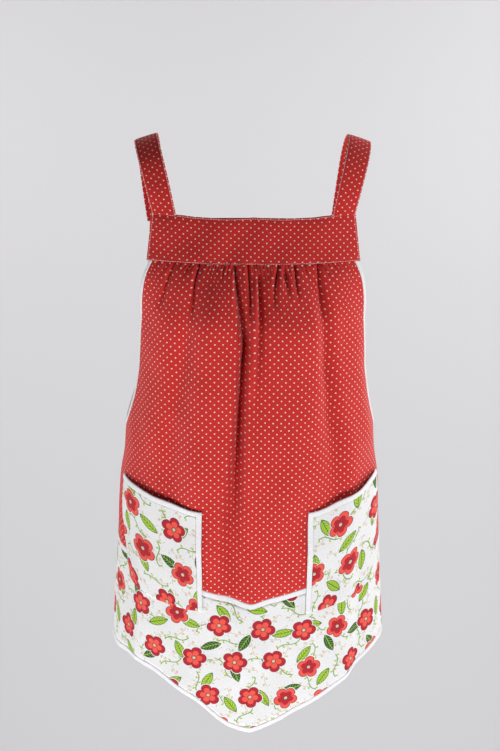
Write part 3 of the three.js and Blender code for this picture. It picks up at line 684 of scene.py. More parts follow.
def printed_cotton(name, looks):
    """Plain-woven white quilting cotton, screen printed: matt, with hard-edged flat inks of
    scattered blossoms, leaves and budding sprigs of about the real print's scale."""
    material, tree, known = cut_material(name)
    white, red, coral, dark_red, lime, green, dark_green, beige = (
        (*getattr(looks, f"print_{ink}"), 1)
        for ink in ("white", "red", "coral", "dark_red", "lime", "green", "dark_green", "beige")
    )
    ground = white

    # Budding twigs: a wavy stem with a bud on each side in turn
    for size, angle, seed, stem, bud, reach, wide, pitch, bud_size in (
        (30, 0.4, 3, beige, beige, 12, 0.52, 6.2, 1.9),
        (45, -0.6, 8, green, lime, 19, 0.8, 8.6, 1.6),
    ):
        motif_cells(tree, known, size, angle, 0.16, seed)
        work_out(tree, known, """
            swing MULTIPLY y per_swing
            bend SINE swing
            stem_x MULTIPLY bend 3.6
            off SUBTRACT x stem_x
            off_side ABSOLUTE off
            long ABSOLUTE y
            short_enough LESS_THAN long reach
            on_stem LESS_THAN off_side wide
            stem MULTIPLY on_stem short_enough
            along MULTIPLY_ADD y per_bud 0.5
            along_part FRACT along
            along_centred SUBTRACT along_part 0.5
            bud_y MULTIPLY along_centred pitch
            bud_number FLOOR along
            half_number MULTIPLY bud_number 0.5
            odd FRACT half_number
            bud_side MULTIPLY_ADD odd 4 -1
            bud_place MULTIPLY bud_side 3.6
            bud_x SUBTRACT off bud_place
            bxx MULTIPLY bud_x bud_x
            byy MULTIPLY bud_y bud_y
            bud_square ADD bxx byy
            in_bud LESS_THAN bud_square bud_reach
            bud MULTIPLY in_bud short_enough
            bud_level ABSOLUTE bud_y
            on_stalk LESS_THAN bud_level stalk_wide
            same_side MULTIPLY off bud_side
            stalk_start GREATER_THAN same_side 0
            stalk_end LESS_THAN same_side 3.6
            stalk_a MULTIPLY on_stalk stalk_start
            stalk_b MULTIPLY stalk_a stalk_end
            stalk MULTIPLY stalk_b short_enough
        """, per_swing=1 / 6.5, reach=reach, wide=wide, pitch=pitch, per_bud=1 / pitch,
            bud_reach=bud_size**2, stalk_wide=wide * 0.8)
        ground = lay_inks(tree, known, ground, ("stem", stem), ("stalk", stem), ("bud", bud))

    # Leaves: pointed ovals with a midrib and slanting veins, in two greens
    long, wide = 16.5, 6.8
    bow = (long**2 + wide**2) / (2 * wide)
    motif_cells(tree, known, 49, 0.25, 0.22, 21)
    work_out(tree, known, """
        side ABSOLUTE y
        side_out ADD side bow_out
        xx MULTIPLY x x
        leaf_square MULTIPLY_ADD side_out side_out xx
        leaf_radius SQRT leaf_square
        leaf_edge SUBTRACT leaf_radius bow
        leaf_halo LESS_THAN leaf_edge 1.1
        leaf LESS_THAN leaf_edge 0
        leaf_core LESS_THAN leaf_edge -0.8
        midrib LESS_THAN side 0.42
        slant SUBTRACT x side
        slant_step MULTIPLY slant per_vein
        slant_part FRACT slant_step
        vein LESS_THAN slant_part 0.14
        ribs MAXIMUM midrib vein
        lined MULTIPLY ribs leaf_core
        dark_leaf GREATER_THAN chance 0.62
    """, bow=bow, bow_out=bow - wide, per_vein=1 / 4.8)
    face = lay_inks(tree, known, lime, ("dark_leaf", dark_green))
    lines = lay_inks(tree, known, dark_green, ("dark_leaf", lime))
    ground = lay_inks(
        tree, known, ground,
        ("leaf_halo", white), ("leaf", dark_green), ("leaf_core", face), ("lined", lines),
    )

    # Blossoms: five round petals in two reds, with a pale eye
    motif_cells(tree, known, 60, -0.12, 0.2, 34)
    work_out(tree, known, """
        xx MULTIPLY x x
        square MULTIPLY_ADD y y xx
        radius SQRT square
        around ARCTAN2 y x
        petal_turn MULTIPLY around 2.5
        petal_wave COSINE petal_turn
        petal ABSOLUTE petal_wave
        petal_root POWER petal 0.6
        rim MULTIPLY_ADD petal_root 6 12.5
        inside SUBTRACT radius rim
        halo LESS_THAN inside 1.3
        blossom LESS_THAN inside 0
        blossom_core LESS_THAN inside -1
        heart LESS_THAN inside -6.2
        cleft_wave LESS_THAN petal 0.09
        past_eye GREATER_THAN radius 5
        cleft MULTIPLY cleft_wave past_eye
        cleft_in MULTIPLY cleft blossom
        eye LESS_THAN radius 3.6
        eye_core LESS_THAN radius 2.5
        coral_one GREATER_THAN chance 0.55
    """)
    outer = lay_inks(tree, known, red, ("coral_one", coral))
    inner = lay_inks(tree, known, coral, ("coral_one", red))
    ground = lay_inks(
        tree, known, ground,
        ("halo", white), ("blossom", dark_red), ("blossom_core", outer), ("heart", inner),
        ("cleft_in", dark_red), ("eye", dark_red), ("eye_core", beige),
    )
    finish_cotton(tree, known, ground, 0.85, 0.06, 3)
    return material


def bias_tape(name, looks):
    """Folded cotton bias tape, bleached: a clean matt white that takes fine cross puckers."""
    material, tree, known = cut_material(name)
    finish_cotton(tree, known, tuple(looks.tape_white), 0.8, 0.08, 2)
    return material


def sewing_thread(name, looks):
    """Spun polyester sewing thread: a little brighter and glossier than the cloth it holds."""
    material, tree = new_material(name)
    tint = getattr(looks, name.removeprefix("polyester_"))
    place = add_node(tree, "ShaderNodeTexCoord", output="Object")
    # Painted shade in the grooves of the thread's twist and painted light on its crowns, in bands about 0.5
    # mm apart along the thread
    wave = {"Vector": place, "Scale": 600, "Distortion": 2}
    twist_light = add_node(tree, "ShaderNodeTexWave", wave, bands_direction="DIAGONAL")
    shaded = (*[part * 0.8 for part in tint], 1)
    colour = lay_inks(tree, {"twist_light": twist_light}, shaded, ("twist_light", (*tint, 1)))
    spun = {"Base Color": colour, "Roughness": 0.55, "Sheen Weight": 0.2}
    thread = add_node(tree, "ShaderNodeBsdfPrincipled", spun)
    add_node(tree, "ShaderNodeOutputMaterial", (thread,))
    return material


MAKERS = {
    "quilting_cotton_pin_dot": dotted_cotton,
    "quilting_cotton_printed": printed_cotton,
    "cotton_bias_tape": bias_tape,
    "polyester_thread_pink": sewing_thread,
    "polyester_thread_white": sewing_thread,
}
CLOTHS = dict(zip(("dotted_cotton", "printed_cotton", "bias_tape"), MAKERS))


def material_named(name, looks):
    """Each material is made once and shared by the pieces that are cut from it."""
    return bpy.data.materials.get(name) or MAKERS[name](name, looks)


# The pieces


def panel_grid(is_back, columns, armhole_rows, skirt_rows):
    """Turns and heights of a panel from its yoke to the hem band."""
    shares = panel_shares(is_back, columns)
    ways = np.linspace(1, 0, armhole_rows)
    inset, levels = armhole_inset(ways, is_back, armhole_tape_at(ways) - SEWN)
    levels = np.where(ways == 1, levels + SEAM_GAP, levels)
    end = np.maximum(inset, SIDE_SEAM_TURN) if is_back else np.minimum(inset, SIDE_SEAM_TURN)
    upper_z = np.repeat(levels[:, None], columns, 1)
    upper = column_turn(shares[None], end[:, None], upper_z, is_back)
    bottom = band_top_at(shares) + BAND_TAPE / 2 - SEWN
    ways = np.linspace(0, 1, skirt_rows)[1:, None]
    lower_z = levels[-1] + (bottom[None] - levels[-1]) * ways
    lower = column_turn(shares[None], SIDE_SEAM_TURN, lower_z, is_back)
    return np.concatenate([upper, lower]), np.concatenate([upper_z, lower_z])


def add_single(looks, name, node, slot, turn, z, flat):
    """A single wall of cloth that lies on the folded body."""
    middle, outward = cloth_frame(turn, z, SOLID_CLOTH / 2)
    return add_wall(looks, name, node, slot, middle, outward, looks.cloth_thickness / MM / 2, flat)


def add_panel(looks, is_back):
    side = SIDES[is_back]
    turn, z = panel_grid(is_back, *((119, 52, 34) if is_back else (237, 78, 46)))
    flat = flat_place(turn, z, is_back)
    return add_single(looks, f"gathered_panel_{side}", f"{side}_panel", "dotted_cotton", turn, z, flat)


def strip_grid(is_back, columns, top_at, bottom_at, ways):
    """Turns and heights of a strip between two lines over the whole front or back."""
    shares = panel_shares(is_back, columns)
    top, bottom = top_at(shares), bottom_at(shares)
    z = top[None] + (bottom - top)[None] * ways[:, None]
    return column_turn(shares[None], SIDE_SEAM_TURN, z, is_back), z


def add_band(looks, is_back):
    side = SIDES[is_back]
    turn, z = strip_grid(
        is_back,
        119 if is_back else 237,
        lambda share: band_top_at(share) - BAND_TAPE / 2 + SEWN,
        lambda share: hem_at(share, is_back) + HEM_TAPE - SEWN,
        np.linspace(0, 1, 26 if is_back else 38),
    )
    flat = flat_place(turn, z, is_back, (0.9, 0.31))
    return add_single(looks, f"hem_band_printed_{side}", f"hem_band_{side}", "printed_cotton", turn, z, flat)


def tape_ways(width):
    return places(5, width, (0, 0.2, 0.6, 1.2))


def add_tape(looks, name, node, middle, outward, ways, width, puckers=0.8, looped=False):
    """A folded tape, rows across its width."""
    along = run_along(middle[len(ways) // 2])
    edge = edge_distance(ways, width)
    thick = rolled(edge)[:, None] + pucker(along)[None] * np.clip(edge, 0, 1)[:, None] * puckers
    if looped:
        along = np.append(along, along[-1] + np.linalg.norm(middle[0, 0] - middle[0, -1]))
    flat = flat_sheet(along[None], -(ways * width)[:, None])
    return add_wall(looks, name, node, "bias_tape", middle, outward, thick, flat, looped)


def yoke_place(way_down, way_across, is_back):
    """Turns and heights at shares of the way down and across a yoke."""
    z = YOKE_TOP[is_back] + (YOKE_SEAM[is_back] - YOKE_TOP[is_back]) * way_down
    if not is_back:
        ends = np.abs(2 * way_across - 1)
        sag = 1.5 * np.sin(math.pi * np.clip(ends / 0.78, 0, 1)) - 2.6 * np.clip((ends - 0.72) / 0.2, 0, 1)
        bow = (0.8 + 0.6 * way_across) * np.cos(2.2 * (way_across - 0.5))
        z = z - sag * (1 - way_down) - bow * way_down
    wider = YOKE_SEAM_WIDTH[is_back] - YOKE_TOP_WIDTH[is_back]
    end = turn_at_width((YOKE_TOP_WIDTH[is_back] + wider * way_down) / 2, z, is_back)
    across = 2 * way_across - 1
    return (math.pi + across * (math.pi - end) if is_back else across * end), z


def yoke_lift(way_down, way_across):
    """The doubled yoke swells a little between its stitch lines, most over the bulky seam."""
    edge = np.minimum(edge_distance(way_down, 58), edge_distance(way_across, 280))
    swell = 0.5 * np.clip((edge - 2.2) / 6, 0, 1)
    drag = 0.7 * np.sin(way_across * 23 + way_down * 3.4) + 0.5 * np.sin(way_across * 39 - way_down * 5 + 1)
    drag = drag * (0.35 + 0.65 * np.sin(math.pi * way_down))
    return SOLID_CLOTH / 2 + swell + drag * np.clip(edge / 4, 0, 1) + 0.5 * way_down**6


def add_yoke(looks, is_back):
    height, width = YOKE_TOP[is_back] - YOKE_SEAM[is_back], YOKE_TOP_WIDTH[is_back]
    way_down, way_across = np.meshgrid(places(20, height), places(130, width), indexing="ij")
    turn, z = yoke_place(way_down, way_across, is_back)
    middle, outward = cloth_frame(turn, z, yoke_lift(way_down, way_across))
    edge = np.minimum(edge_distance(way_down, height), edge_distance(way_across, width))
    run = run_along(middle)
    run = run - run[:, -1:] / 2
    down_run = -way_down * height * YOKE_DOT_ROWS + (0 if is_back else 0.045) * run
    side = SIDES[is_back]
    return add_wall(
        looks, f"yoke_doubled_{side}", f"{side}_yoke", "dotted_cotton", middle, outward,
        rolled(edge) - stitch_groove(edge, 0.25), flat_sheet(run, down_run, (0.303, 0.203)),
    )


def strap_end(is_back):
    """Middle of a strap's end on its yoke, the direction across it, and how far its edges curve back."""
    z = YOKE_TOP[is_back] + SEAM_GAP
    x = (STRAP_SPREAD_BACK if is_back else STRAP_SPREAD_FRONT) / 2
    turn = float(turn_at_width(x, z, is_back))
    middle = cloth_frame(np.array(turn), np.array(z), SOLID_CLOTH / 2)[0]
    tangent = body_point(turn + 0.01, z) - body_point(turn - 0.01, z)
    tangent /= np.linalg.norm(tangent)
    across = -tangent if is_back else tangent
    edge = body_point(turn_at_width(x + STRAP_WIDTH / 2, z, is_back), z)
    outward = np.array([across[1], -across[0], 0])
    return middle, across, abs(float((edge - body_point(turn, z)) @ outward))


def smooth_path(knots, t):
    """Points of a centripetal spline through the knots, at shares t of its spans."""
    padded = np.concatenate([2 * knots[:1] - knots[1:2], knots, 2 * knots[-1:] - knots[-2:-1]])
    place = np.clip(t, 0, 1) * (len(knots) - 1)
    i = np.minimum(place.astype(int), len(knots) - 2)
    w = (place - i)[:, None]
    p0, p1, p2, p3 = (padded[i + k] for k in range(4))
    spans = ((p0, p1), (p1, p2), (p2, p3))
    d0, d1, d2 = (np.linalg.norm(b - a, axis=1, keepdims=True) ** 0.5 for a, b in spans)
    t1 = ((p1 - p0) / d0 - (p2 - p0) / (d0 + d1) + (p2 - p1) / d1) * d1
    t2 = ((p2 - p1) / d1 - (p3 - p1) / (d1 + d2) + (p3 - p2) / d2) * d1
    c2, c3 = -3 * p1 + 3 * p2 - 2 * t1 - t2, 2 * p1 - 2 * p2 + t1 + t2
    return p1 + t1 * w + c2 * w**2 + c3 * w**3


def strap_frame(side, t, across_mm, lift=0.0):
    """Points of a strap at shares t of its length and distances from its middle line."""
    ends = {"front": strap_end(False), "back": strap_end(True)}
    knots = []
    for end, reach, drop, spread, _, _ in STRAP_PATH:
        middle = ends[end][0]
        knots.append((
            side * (STRAP_SPREAD_SHOULDER / 2 + (middle[0] - STRAP_SPREAD_SHOULDER / 2) * spread),
            reach * middle[1],
            drop * middle[2] + (1 - drop) * SOLID_DOUBLED / 2,
        ))
    knots = np.array(knots)
    last = len(STRAP_PATH) - 1
    slope, bow = (np.interp(t * last, range(last + 1), [row[k] for row in STRAP_PATH]) for k in (4, 5))
    front = t < 0.5
    end_across = np.where(front[:, None], ends["front"][1], ends["back"][1])
    end_bow = np.where(front, ends["front"][2], ends["back"][2])
    level = end_across + (np.array([1.0, 0, 0]) - end_across) * slope[:, None]
    level /= np.linalg.norm(level, axis=1, keepdims=True)
    level[:, 2] = -np.sin(slope * SHOULDER_SLOPE)
    level[:, 0] *= side
    level /= np.linalg.norm(level, axis=1, keepdims=True)
    step = 0.0005
    tangent = smooth_path(knots, t + step) - smooth_path(knots, t - step)
    tangent /= np.linalg.norm(tangent, axis=1, keepdims=True)
    outward = np.cross(tangent, level) * -side
    outward[:, 2] *= np.clip(np.minimum(t, 1 - t) * 11, 0, 1)
    outward /= np.linalg.norm(outward, axis=1, keepdims=True)
    share = across_mm / (STRAP_WIDTH / 2)
    points = smooth_path(knots, t)[:, None] + level[:, None] * across_mm[None, :, None]
    drop = lift - (bow * end_bow)[:, None] * share[None] ** 2
    return points + outward[:, None] * drop[..., None], np.repeat(outward[:, None], len(share), 1)


def add_strap(looks, name, side):
    start, end = [0, 0.0008, 0.002, 0.004], [0.996, 0.998, 0.9992, 1]
    t = np.concatenate([start, np.linspace(0.008, 0.992, 150), end])
    ways = places(15, STRAP_WIDTH)
    across = (0.5 - ways) * STRAP_WIDTH * side
    edge = edge_distance(ways, STRAP_WIDTH)
    middle, outward = strap_frame(side, t, across, 0.35 * np.clip((edge - 2.4) / 5, 0, 1)[None])
    run = run_along(middle[:, len(ways) // 2])
    middle += outward * (0.22 * np.sin(run / 13) * np.sin(run / 31))[:, None, None]
    thick = (rolled(edge) - stitch_groove(edge, 0.22))[None]
    thick = thick + pucker(run)[:, None] * 0.25 * np.clip(edge / 2, 0, 1)
    end = np.minimum(run, run[-1] - run)
    thick = np.minimum(thick, rolled(end)[:, None] + 0.2)
    flat = flat_sheet(across[None], -run[:, None] * STRAP_DOT_ROWS, (0.11 * side, 0.07))
    # Columns have to run to the right as seen from outside
    down, right = middle[61, 5] - middle[60, 5], middle[60, 6] - middle[60, 5]
    if np.linalg.det(np.stack([down, right, outward[60, 5]])) < 0:
        middle, outward, thick, flat = (grid[:, ::-1] for grid in (middle, outward, thick, flat))
    node = name.replace("shoulder_", "")
    return add_wall(looks, name, node, "dotted_cotton", middle, outward, thick, flat)


def pocket_frame(side, across, up, lift):
    """Points of a pocket from its inner edge to the outer, and from its bottom to the mouth."""
    inner = POCKET_INNER_SHARE[side]
    narrowed = np.clip(1 - up / 0.6, 0, 1) ** 1.7
    outer = POCKET_OUTER_SHARE - (POCKET_OUTER_SHARE - POCKET_FOOT_SHARE) * narrowed
    share = inner + (outer - inner) * across
    way = np.clip(across, 0, 1)
    mouth = POCKET_MOUTH[side] + POCKET_MOUTH_RISE[side] * way * way * (3 - 2 * way)
    bottom = POCKET_MOUTH[side] - POCKET_HEIGHT + POCKET_BOTTOM_RISE * np.maximum(across, 0) ** 2.4
    z = bottom + (mouth - bottom) * up
    crown = np.sin(math.pi * np.clip(across, 0, 1) ** 1.25) ** 1.3
    gape = POCKET_GAPE[side] * crown * np.clip(up, 0, 1) ** 1.6
    return cloth_frame(side * share * SIDE_SEAM_TURN, z, POCKET_LIFT + gape + lift)


def add_pocket(looks, name, side):
    reach = POCKET_OUTER_SHARE - POCKET_INNER_SHARE[side]
    width = reach * float(half_girth(np.array(float(POCKET_MOUTH[side])), False))
    tape_across, tape_up = POCKET_TAPE / width, POCKET_TAPE / POCKET_HEIGHT
    up = np.linspace(1 - tape_up + SEWN / POCKET_HEIGHT, 0, 46)
    across = np.linspace(tape_across - SEWN / width, 1, 44)[::side]
    grid_up, grid_across = np.meshgrid(up, across, indexing="ij")
    middle, outward = pocket_frame(side, grid_across, grid_up, SOLID_CLOTH / 2)
    flat = flat_sheet(side * grid_across * width, grid_up * POCKET_HEIGHT, (0.412 * side, 0.157 * side))
    patch = add_wall(
        looks, f"pocket_printed_{name}", f"pocket_{name}", "printed_cotton", middle, outward,
        looks.cloth_thickness / MM / 2, flat,
    )

    # The tape goes up the inner edge and turns along the mouth
    ways = tape_ways(POCKET_TAPE)
    rows = ways[:, None]
    edge_run, mouth_run = np.linspace(0, 1, 60), np.linspace(0, 1, 50)[1:]
    inner, top = rows * tape_across, 1 - rows * tape_up
    tape_a = np.concatenate([inner + 0 * edge_run, inner + mouth_run * (1 - inner)], 1)[:, ::side]
    tape_u = np.concatenate([edge_run * top, top + 0 * mouth_run], 1)[:, ::side]
    middle, outward = pocket_frame(side, tape_a, tape_u, SOLID_DOUBLED / 2)
    tape = add_tape(
        looks, f"pocket_tape_{name}", f"pocket_binding_{name}", middle, outward, ways, POCKET_TAPE, 0.7
    )
    return patch, tape


# Stitches


def stitch_tree(material):
    """Geometry Nodes that lay one thread bead after another along each curve."""
    tree = bpy.data.node_groups.new(f"stitch_line_{material.name}", "GeometryNodeTree")
    for in_out in ("OUTPUT", "INPUT"):
        tree.interface.new_socket("Geometry", in_out=in_out, socket_type="NodeSocketGeometry")
    for name in ("Stitch length", "Stitch gap", "Thread thickness"):
        tree.interface.new_socket(name, in_out="INPUT", socket_type="NodeSocketFloat")
    given = tree.nodes.new("NodeGroupInput").outputs
    long, thick = given["Stitch length"], given["Thread thickness"]
    pitch = add_node(tree, "ShaderNodeMath", (long, given["Stitch gap"]), operation="ADD")
    path = {"Curve": given["Geometry"], "Length": pitch}
    resampled = add_node(tree, "GeometryNodeResampleCurve", path, mode="LENGTH")
    direction = add_node(tree, "GeometryNodeInputTangent")
    bead = add_node(tree, "GeometryNodeMeshUVSphere", {"Segments": 7, "Rings": 4, "Radius": 0.5})
    uneven = {2: 0.9, 3: 1.06, "Seed": 5}
    loose = add_node(tree, "FunctionNodeRandomValue", uneven, output=1, data_type="FLOAT")
    long = add_node(tree, "ShaderNodeMath", (long, loose), operation="MULTIPLY")
    placed = add_node(tree, "GeometryNodeInstanceOnPoints", {
        "Points": resampled,
        "Instance": bead,
        "Rotation": add_node(tree, "FunctionNodeAlignRotationToVector", {"Vector": direction}, axis="X"),
        "Scale": add_node(tree, "ShaderNodeCombineXYZ", (long, thick, thick)),
    })
    real = add_node(tree, "GeometryNodeRealizeInstances", (placed,))
    dyed = add_node(tree, "GeometryNodeSetMaterial", {"Geometry": real, "Material": material})
    add_node(tree, "NodeGroupOutput", (dyed,))
    return tree


def sew(looks, name, lines, material_name):
    """One piece of topstitching along lines of points in millimetres."""
    curve = bpy.data.curves.new(name, "CURVE")
    curve.dimensions = "3D"
    for line in lines:
        spline = curve.splines.new("POLY")
        spline.points.add(len(line) - 1)
        places_4d = np.append(line * MM, np.ones((len(line), 1)), 1)
        spline.points.foreach_set("co", places_4d.astype(np.float32).ravel())
    path = bpy.data.objects.new(f"{name}_path", curve)
    bpy.context.scene.collection.objects.link(path)
    material = material_named(material_name, looks)
    tree = bpy.data.node_groups.get(f"stitch_line_{material_name}") or stitch_tree(material)
    modifier = path.modifiers.new("stitches", "NODES")
    modifier.node_group = tree
    for item in tree.interface.items_tree:
        if item.in_out == "INPUT" and item.name != "Geometry":
            modifier[item.identifier] = getattr(looks, item.name.lower().replace(" ", "_"))
    bpy.context.view_layer.update()
    made = bpy.data.meshes.new_from_object(path.evaluated_get(bpy.context.evaluated_depsgraph_get()))
    made.name = name
    bpy.data.objects.remove(path)
    if not len(made.polygons):
        raise RuntimeError(f"{name} has no stitches")
    return settle(name, made, "topstitch_thread")


def yoke_stitch_line(is_back):
    """A line just inside all four edges of a yoke."""
    inset_down = STITCH_INSET / (YOKE_TOP[is_back] - YOKE_SEAM[is_back])
    inset_across = STITCH_INSET / YOKE_TOP_WIDTH[is_back]
    long, short = np.linspace(0, 1, 200), np.linspace(0, 1, 40)[1:-1]
    down = np.concatenate([0 * long, short, 0 * long + 1, short[::-1], [0]])
    across = np.concatenate([long, 0 * short + 1, long[::-1], 0 * short, [0]])
    way_down = inset_down + down * (1 - 2 * inset_down)
    way_across = inset_across + across * (1 - 2 * inset_across)
    turn, z = yoke_place(way_down, way_across, is_back)
    return cloth_frame(turn, z, yoke_lift(way_down, way_across) + SOLID_DOUBLED / 2 - 0.2)[0]


def strap_stitch_lines(side):
    """A line along both edges of a strap."""
    t = np.linspace(0.006, 0.994, 220)
    across = np.array([-1, 1]) * (STRAP_WIDTH / 2 - STITCH_INSET)
    points = strap_frame(side, t, across, np.full((1, 2), SOLID_DOUBLED / 2 - 0.15))[0]
    return [points[:, 0], points[:, 1]]


# What a user would change: name, label, description and default, in millimetres or as sRGB

LENGTHS = (
    ("cloth_thickness", "Cloth thickness", "Thickness of the single cloth walls", 0.9),
    ("dot_pitch", "Dot pitch", "Distance from one pin dot to the next", 7.4),
    ("dot_diameter", "Dot diameter", "Diameter of a pin dot", 1.9),
    ("stitch_length", "Stitch length", "Visible length of one topstitch", 3.1),
    ("stitch_gap", "Stitch gap", "Distance between two topstitches", 0.3),
    ("thread_thickness", "Thread thickness", "Thickness of the sewing thread", 0.9),
)
COLOURS = (
    ("red", "Red cotton", "Ground of the dotted cotton", "C92722"),
    ("dot_white", "Dots", "Pin dots of the dotted cotton", "F2DCD6"),
    ("print_white", "Print ground", "Ground of the printed cotton", "E4E3E4"),
    ("print_red", "Print red", "Main red ink", "B2202F"),
    ("print_coral", "Print coral", "Second red ink", "E8584A"),
    ("print_dark_red", "Print dark red", "Outlines of the blossoms", "7A1422"),
    ("print_lime", "Print lime", "Light green ink", "A5C83A"),
    ("print_green", "Print green", "Green ink of the stems", "7FA045"),
    ("print_dark_green", "Print dark green", "Outlines and dark leaves", "24502F"),
    ("print_beige", "Print beige", "Buds and eyes", "CDBFA2"),
    ("tape_white", "Tape", "Bias tape", "EAE9EC"),
    ("thread_pink", "Pink thread", "Topstitching on the dotted cotton", "EBB9B4"),
    ("thread_white", "White thread", "Topstitching on tape and print", "EFEFF0"),
)


class ApronLooks(bpy.types.PropertyGroup):
    """Sizes and colours of the apron's cloth, print and thread"""

    __annotations__ = {
        **{
            name: bpy.props.FloatProperty(
                name=label, description=text, default=size * MM, unit="LENGTH", precision=4
            )
            for name, label, text, size in LENGTHS
        },
        **{
            name: bpy.props.FloatVectorProperty(
                name=label, description=text, default=srgb(code), subtype="COLOR"
            )
            for name, label, text, code in COLOURS
        },
    }


class APRON_OT_straps(bpy.types.Operator):
    """Make the two doubled shoulder straps"""

    bl_idname = "apron.straps"
    bl_label = "Shoulder straps"

    def execute(self, context):
        looks = context.scene.apron_looks
        for name, side in (("shoulder_strap_left", -1), ("shoulder_strap_right", 1)):
            strap = add_strap(looks, name, side)
            label = name.replace("shoulder_strap", "strap_stitches")
            stitches = sew(looks, label, strap_stitch_lines(side), "polyester_thread_pink")
        return {"FINISHED"}


class APRON_OT_yokes(bpy.types.Operator):
    """Make the doubled yokes across the chest and the back"""

    bl_idname = "apron.yokes"
    bl_label = "Yokes"

    def execute(self, context):
        looks = context.scene.apron_looks
        for is_back, flat in ((False, (0.31, 0.06)), (True, (0.33, 0.052))):
            yoke = add_yoke(looks, is_back)
            name = f"yoke_stitches_{SIDES[is_back]}"
            stitches = sew(looks, name, [yoke_stitch_line(is_back)], "polyester_thread_pink")
        return {"FINISHED"}


class APRON_OT_panels(bpy.types.Operator):
    """Make the gathered front and back panels with the armholes' bound edges"""

    bl_idname = "apron.panels"
    bl_label = "Panels and armhole bindings"

    def execute(self, context):
        looks = context.scene.apron_looks
        ways = tape_ways(ARMHOLE_TAPE)
        down, up = np.linspace(1, 0, 130), np.linspace(0, 1, 130)[1:]

        def round_armhole(inset):
            front = armhole_inset(down, False, inset(armhole_tape_at(down)))
            return np.append(front, armhole_inset(up, True, inset(armhole_tape_at(up))), 1)

        for name, side in (("left", -1), ("right", 1)):
            rows = [round_armhole(lambda width, way=way: way * width) for way in ways]
            turn, z = (np.array([row[k] for row in rows])[:, ::side] for k in (0, 1))
            middle, outward = cloth_frame(turn * side, z, SOLID_CLOTH / 2)
            add_tape(
                looks, f"armhole_tape_{name}", f"armhole_binding_{name}", middle, outward, ways, ARMHOLE_TAPE
            )
            turn, z = round_armhole(lambda width: width - TAPE_STITCH_INSET)
            line = cloth_frame(turn * side, z, TAPE_THREAD_LIFT)[0]
            sew(looks, f"armhole_stitches_{name}", [line], "polyester_thread_white")
        for is_back, flat, area in ((False, (0.56, 0.44), 0.225), (True, (0.56, 0.44), 0.21)):
            panel = add_panel(looks, is_back)
        return {"FINISHED"}


class APRON_OT_bands(bpy.types.Operator):
    """Make the printed hem bands with the tape over their top edge and round the hem"""

    bl_idname = "apron.bands"
    bl_label = "Hem bands and bindings"

    def execute(self, context):
        looks = context.scene.apron_looks
        ways = tape_ways(BAND_TAPE)
        for is_back, side in enumerate(SIDES):
            def strip(top, bottom, ways):
                columns = 160 if is_back else 301
                return strip_grid(
                    is_back, columns, lambda share: band_top_at(share) + top,
                    lambda share: band_top_at(share) + bottom, ways,
                )

            turn, z = strip(BAND_TAPE / 2, -BAND_TAPE / 2, ways)
            middle, outward = cloth_frame(turn, z, SOLID_CLOTH / 2)
            tape = add_tape(
                looks, f"band_tape_{side}", f"band_binding_{side}", middle, outward, ways, BAND_TAPE
            )
            stitched = BAND_TAPE / 2 - STITCH_INSET
            lines = [
                cloth_frame(*strip(place, place, np.zeros(1)), TAPE_THREAD_LIFT)[0][0]
                for place in (stitched, -stitched)
            ]
            sew(looks, f"band_stitches_{side}", lines, "polyester_thread_white")

        ways = tape_ways(HEM_TAPE)
        grids = []
        for is_back, columns in ((False, 301), (True, 241)):
            shares = panel_shares(is_back, columns)[:-1]
            z = hem_at(shares, is_back)[None] + HEM_TAPE * (1 - ways[:, None])
            grids.append((column_turn(shares[None], SIDE_SEAM_TURN, z, is_back), z))
        turn, z = (np.append(grids[0][k], grids[1][k], 1) for k in (0, 1))
        wave = np.sin(turn * 62) + 0.8 * np.sin(turn * 41 + 1) * np.sin(turn * 9)
        lift = SOLID_CLOTH / 2 + HEM_TAPE_WAVE * wave * (1 - ways[:, None])
        middle, outward = cloth_frame(turn, z, lift)
        hem = add_tape(looks, "hem_tape", "hem_binding", middle, outward, ways, HEM_TAPE, looped=True)
        place = int(np.argmin(np.abs(ways - TAPE_STITCH_INSET / HEM_TAPE)))
        ring = cloth_frame(turn[place], z[place], TAPE_THREAD_LIFT)[0]
        hem_line = sew(looks, "hem_stitches", [np.append(ring, ring[:1], 0)], "polyester_thread_white")

        for is_back, flat, area in ((False, (0.6, 0.22), 0.1), (True, (0.56, 0.22), 0.1)):
            side = SIDES[is_back]
            band = add_band(looks, is_back)
        return {"FINISHED"}


class APRON_OT_pockets(bpy.types.Operator):
    """Make the two printed patch pockets with their bound mouths"""

    bl_idname = "apron.pockets"
    bl_label = "Pockets"

    def execute(self, context):
        looks = context.scene.apron_looks
        for name, side in (("left", -1), ("right", 1)):
            patch, tape = add_pocket(looks, name, side)
        return {"FINISHED"}


# Name, place, target, width in metres and power in watts
LIGHTS = (
    ("key_softbox", (1.0, -2.0, -1.9), (0, 0, -0.46), 0.7, 49),
    ("fill_softbox", (-1.5, -1.6, -1.9), (0, 0, -0.5), 1.2, 32),
    ("window_softbox", (1.9, -0.3, 0.9), (0, 0, -0.2), 0.8, 23),
    ("left_softbox", (-2.1, -0.7, -1.6), (0, 0, -0.5), 0.9, 14),
    ("rear_softbox", (0.6, 2.0, 0.6), (0, 0, -0.4), 1.8, 5),
    ("left_paper_softbox", (-2.6, 1.0, 0.2), (-0.2, 3.1, -1.4), 2.0, 49),
    ("right_paper_softbox", (2.6, 1.0, 0.2), (0.2, 3.1, -1.4), 2.0, 60),
)


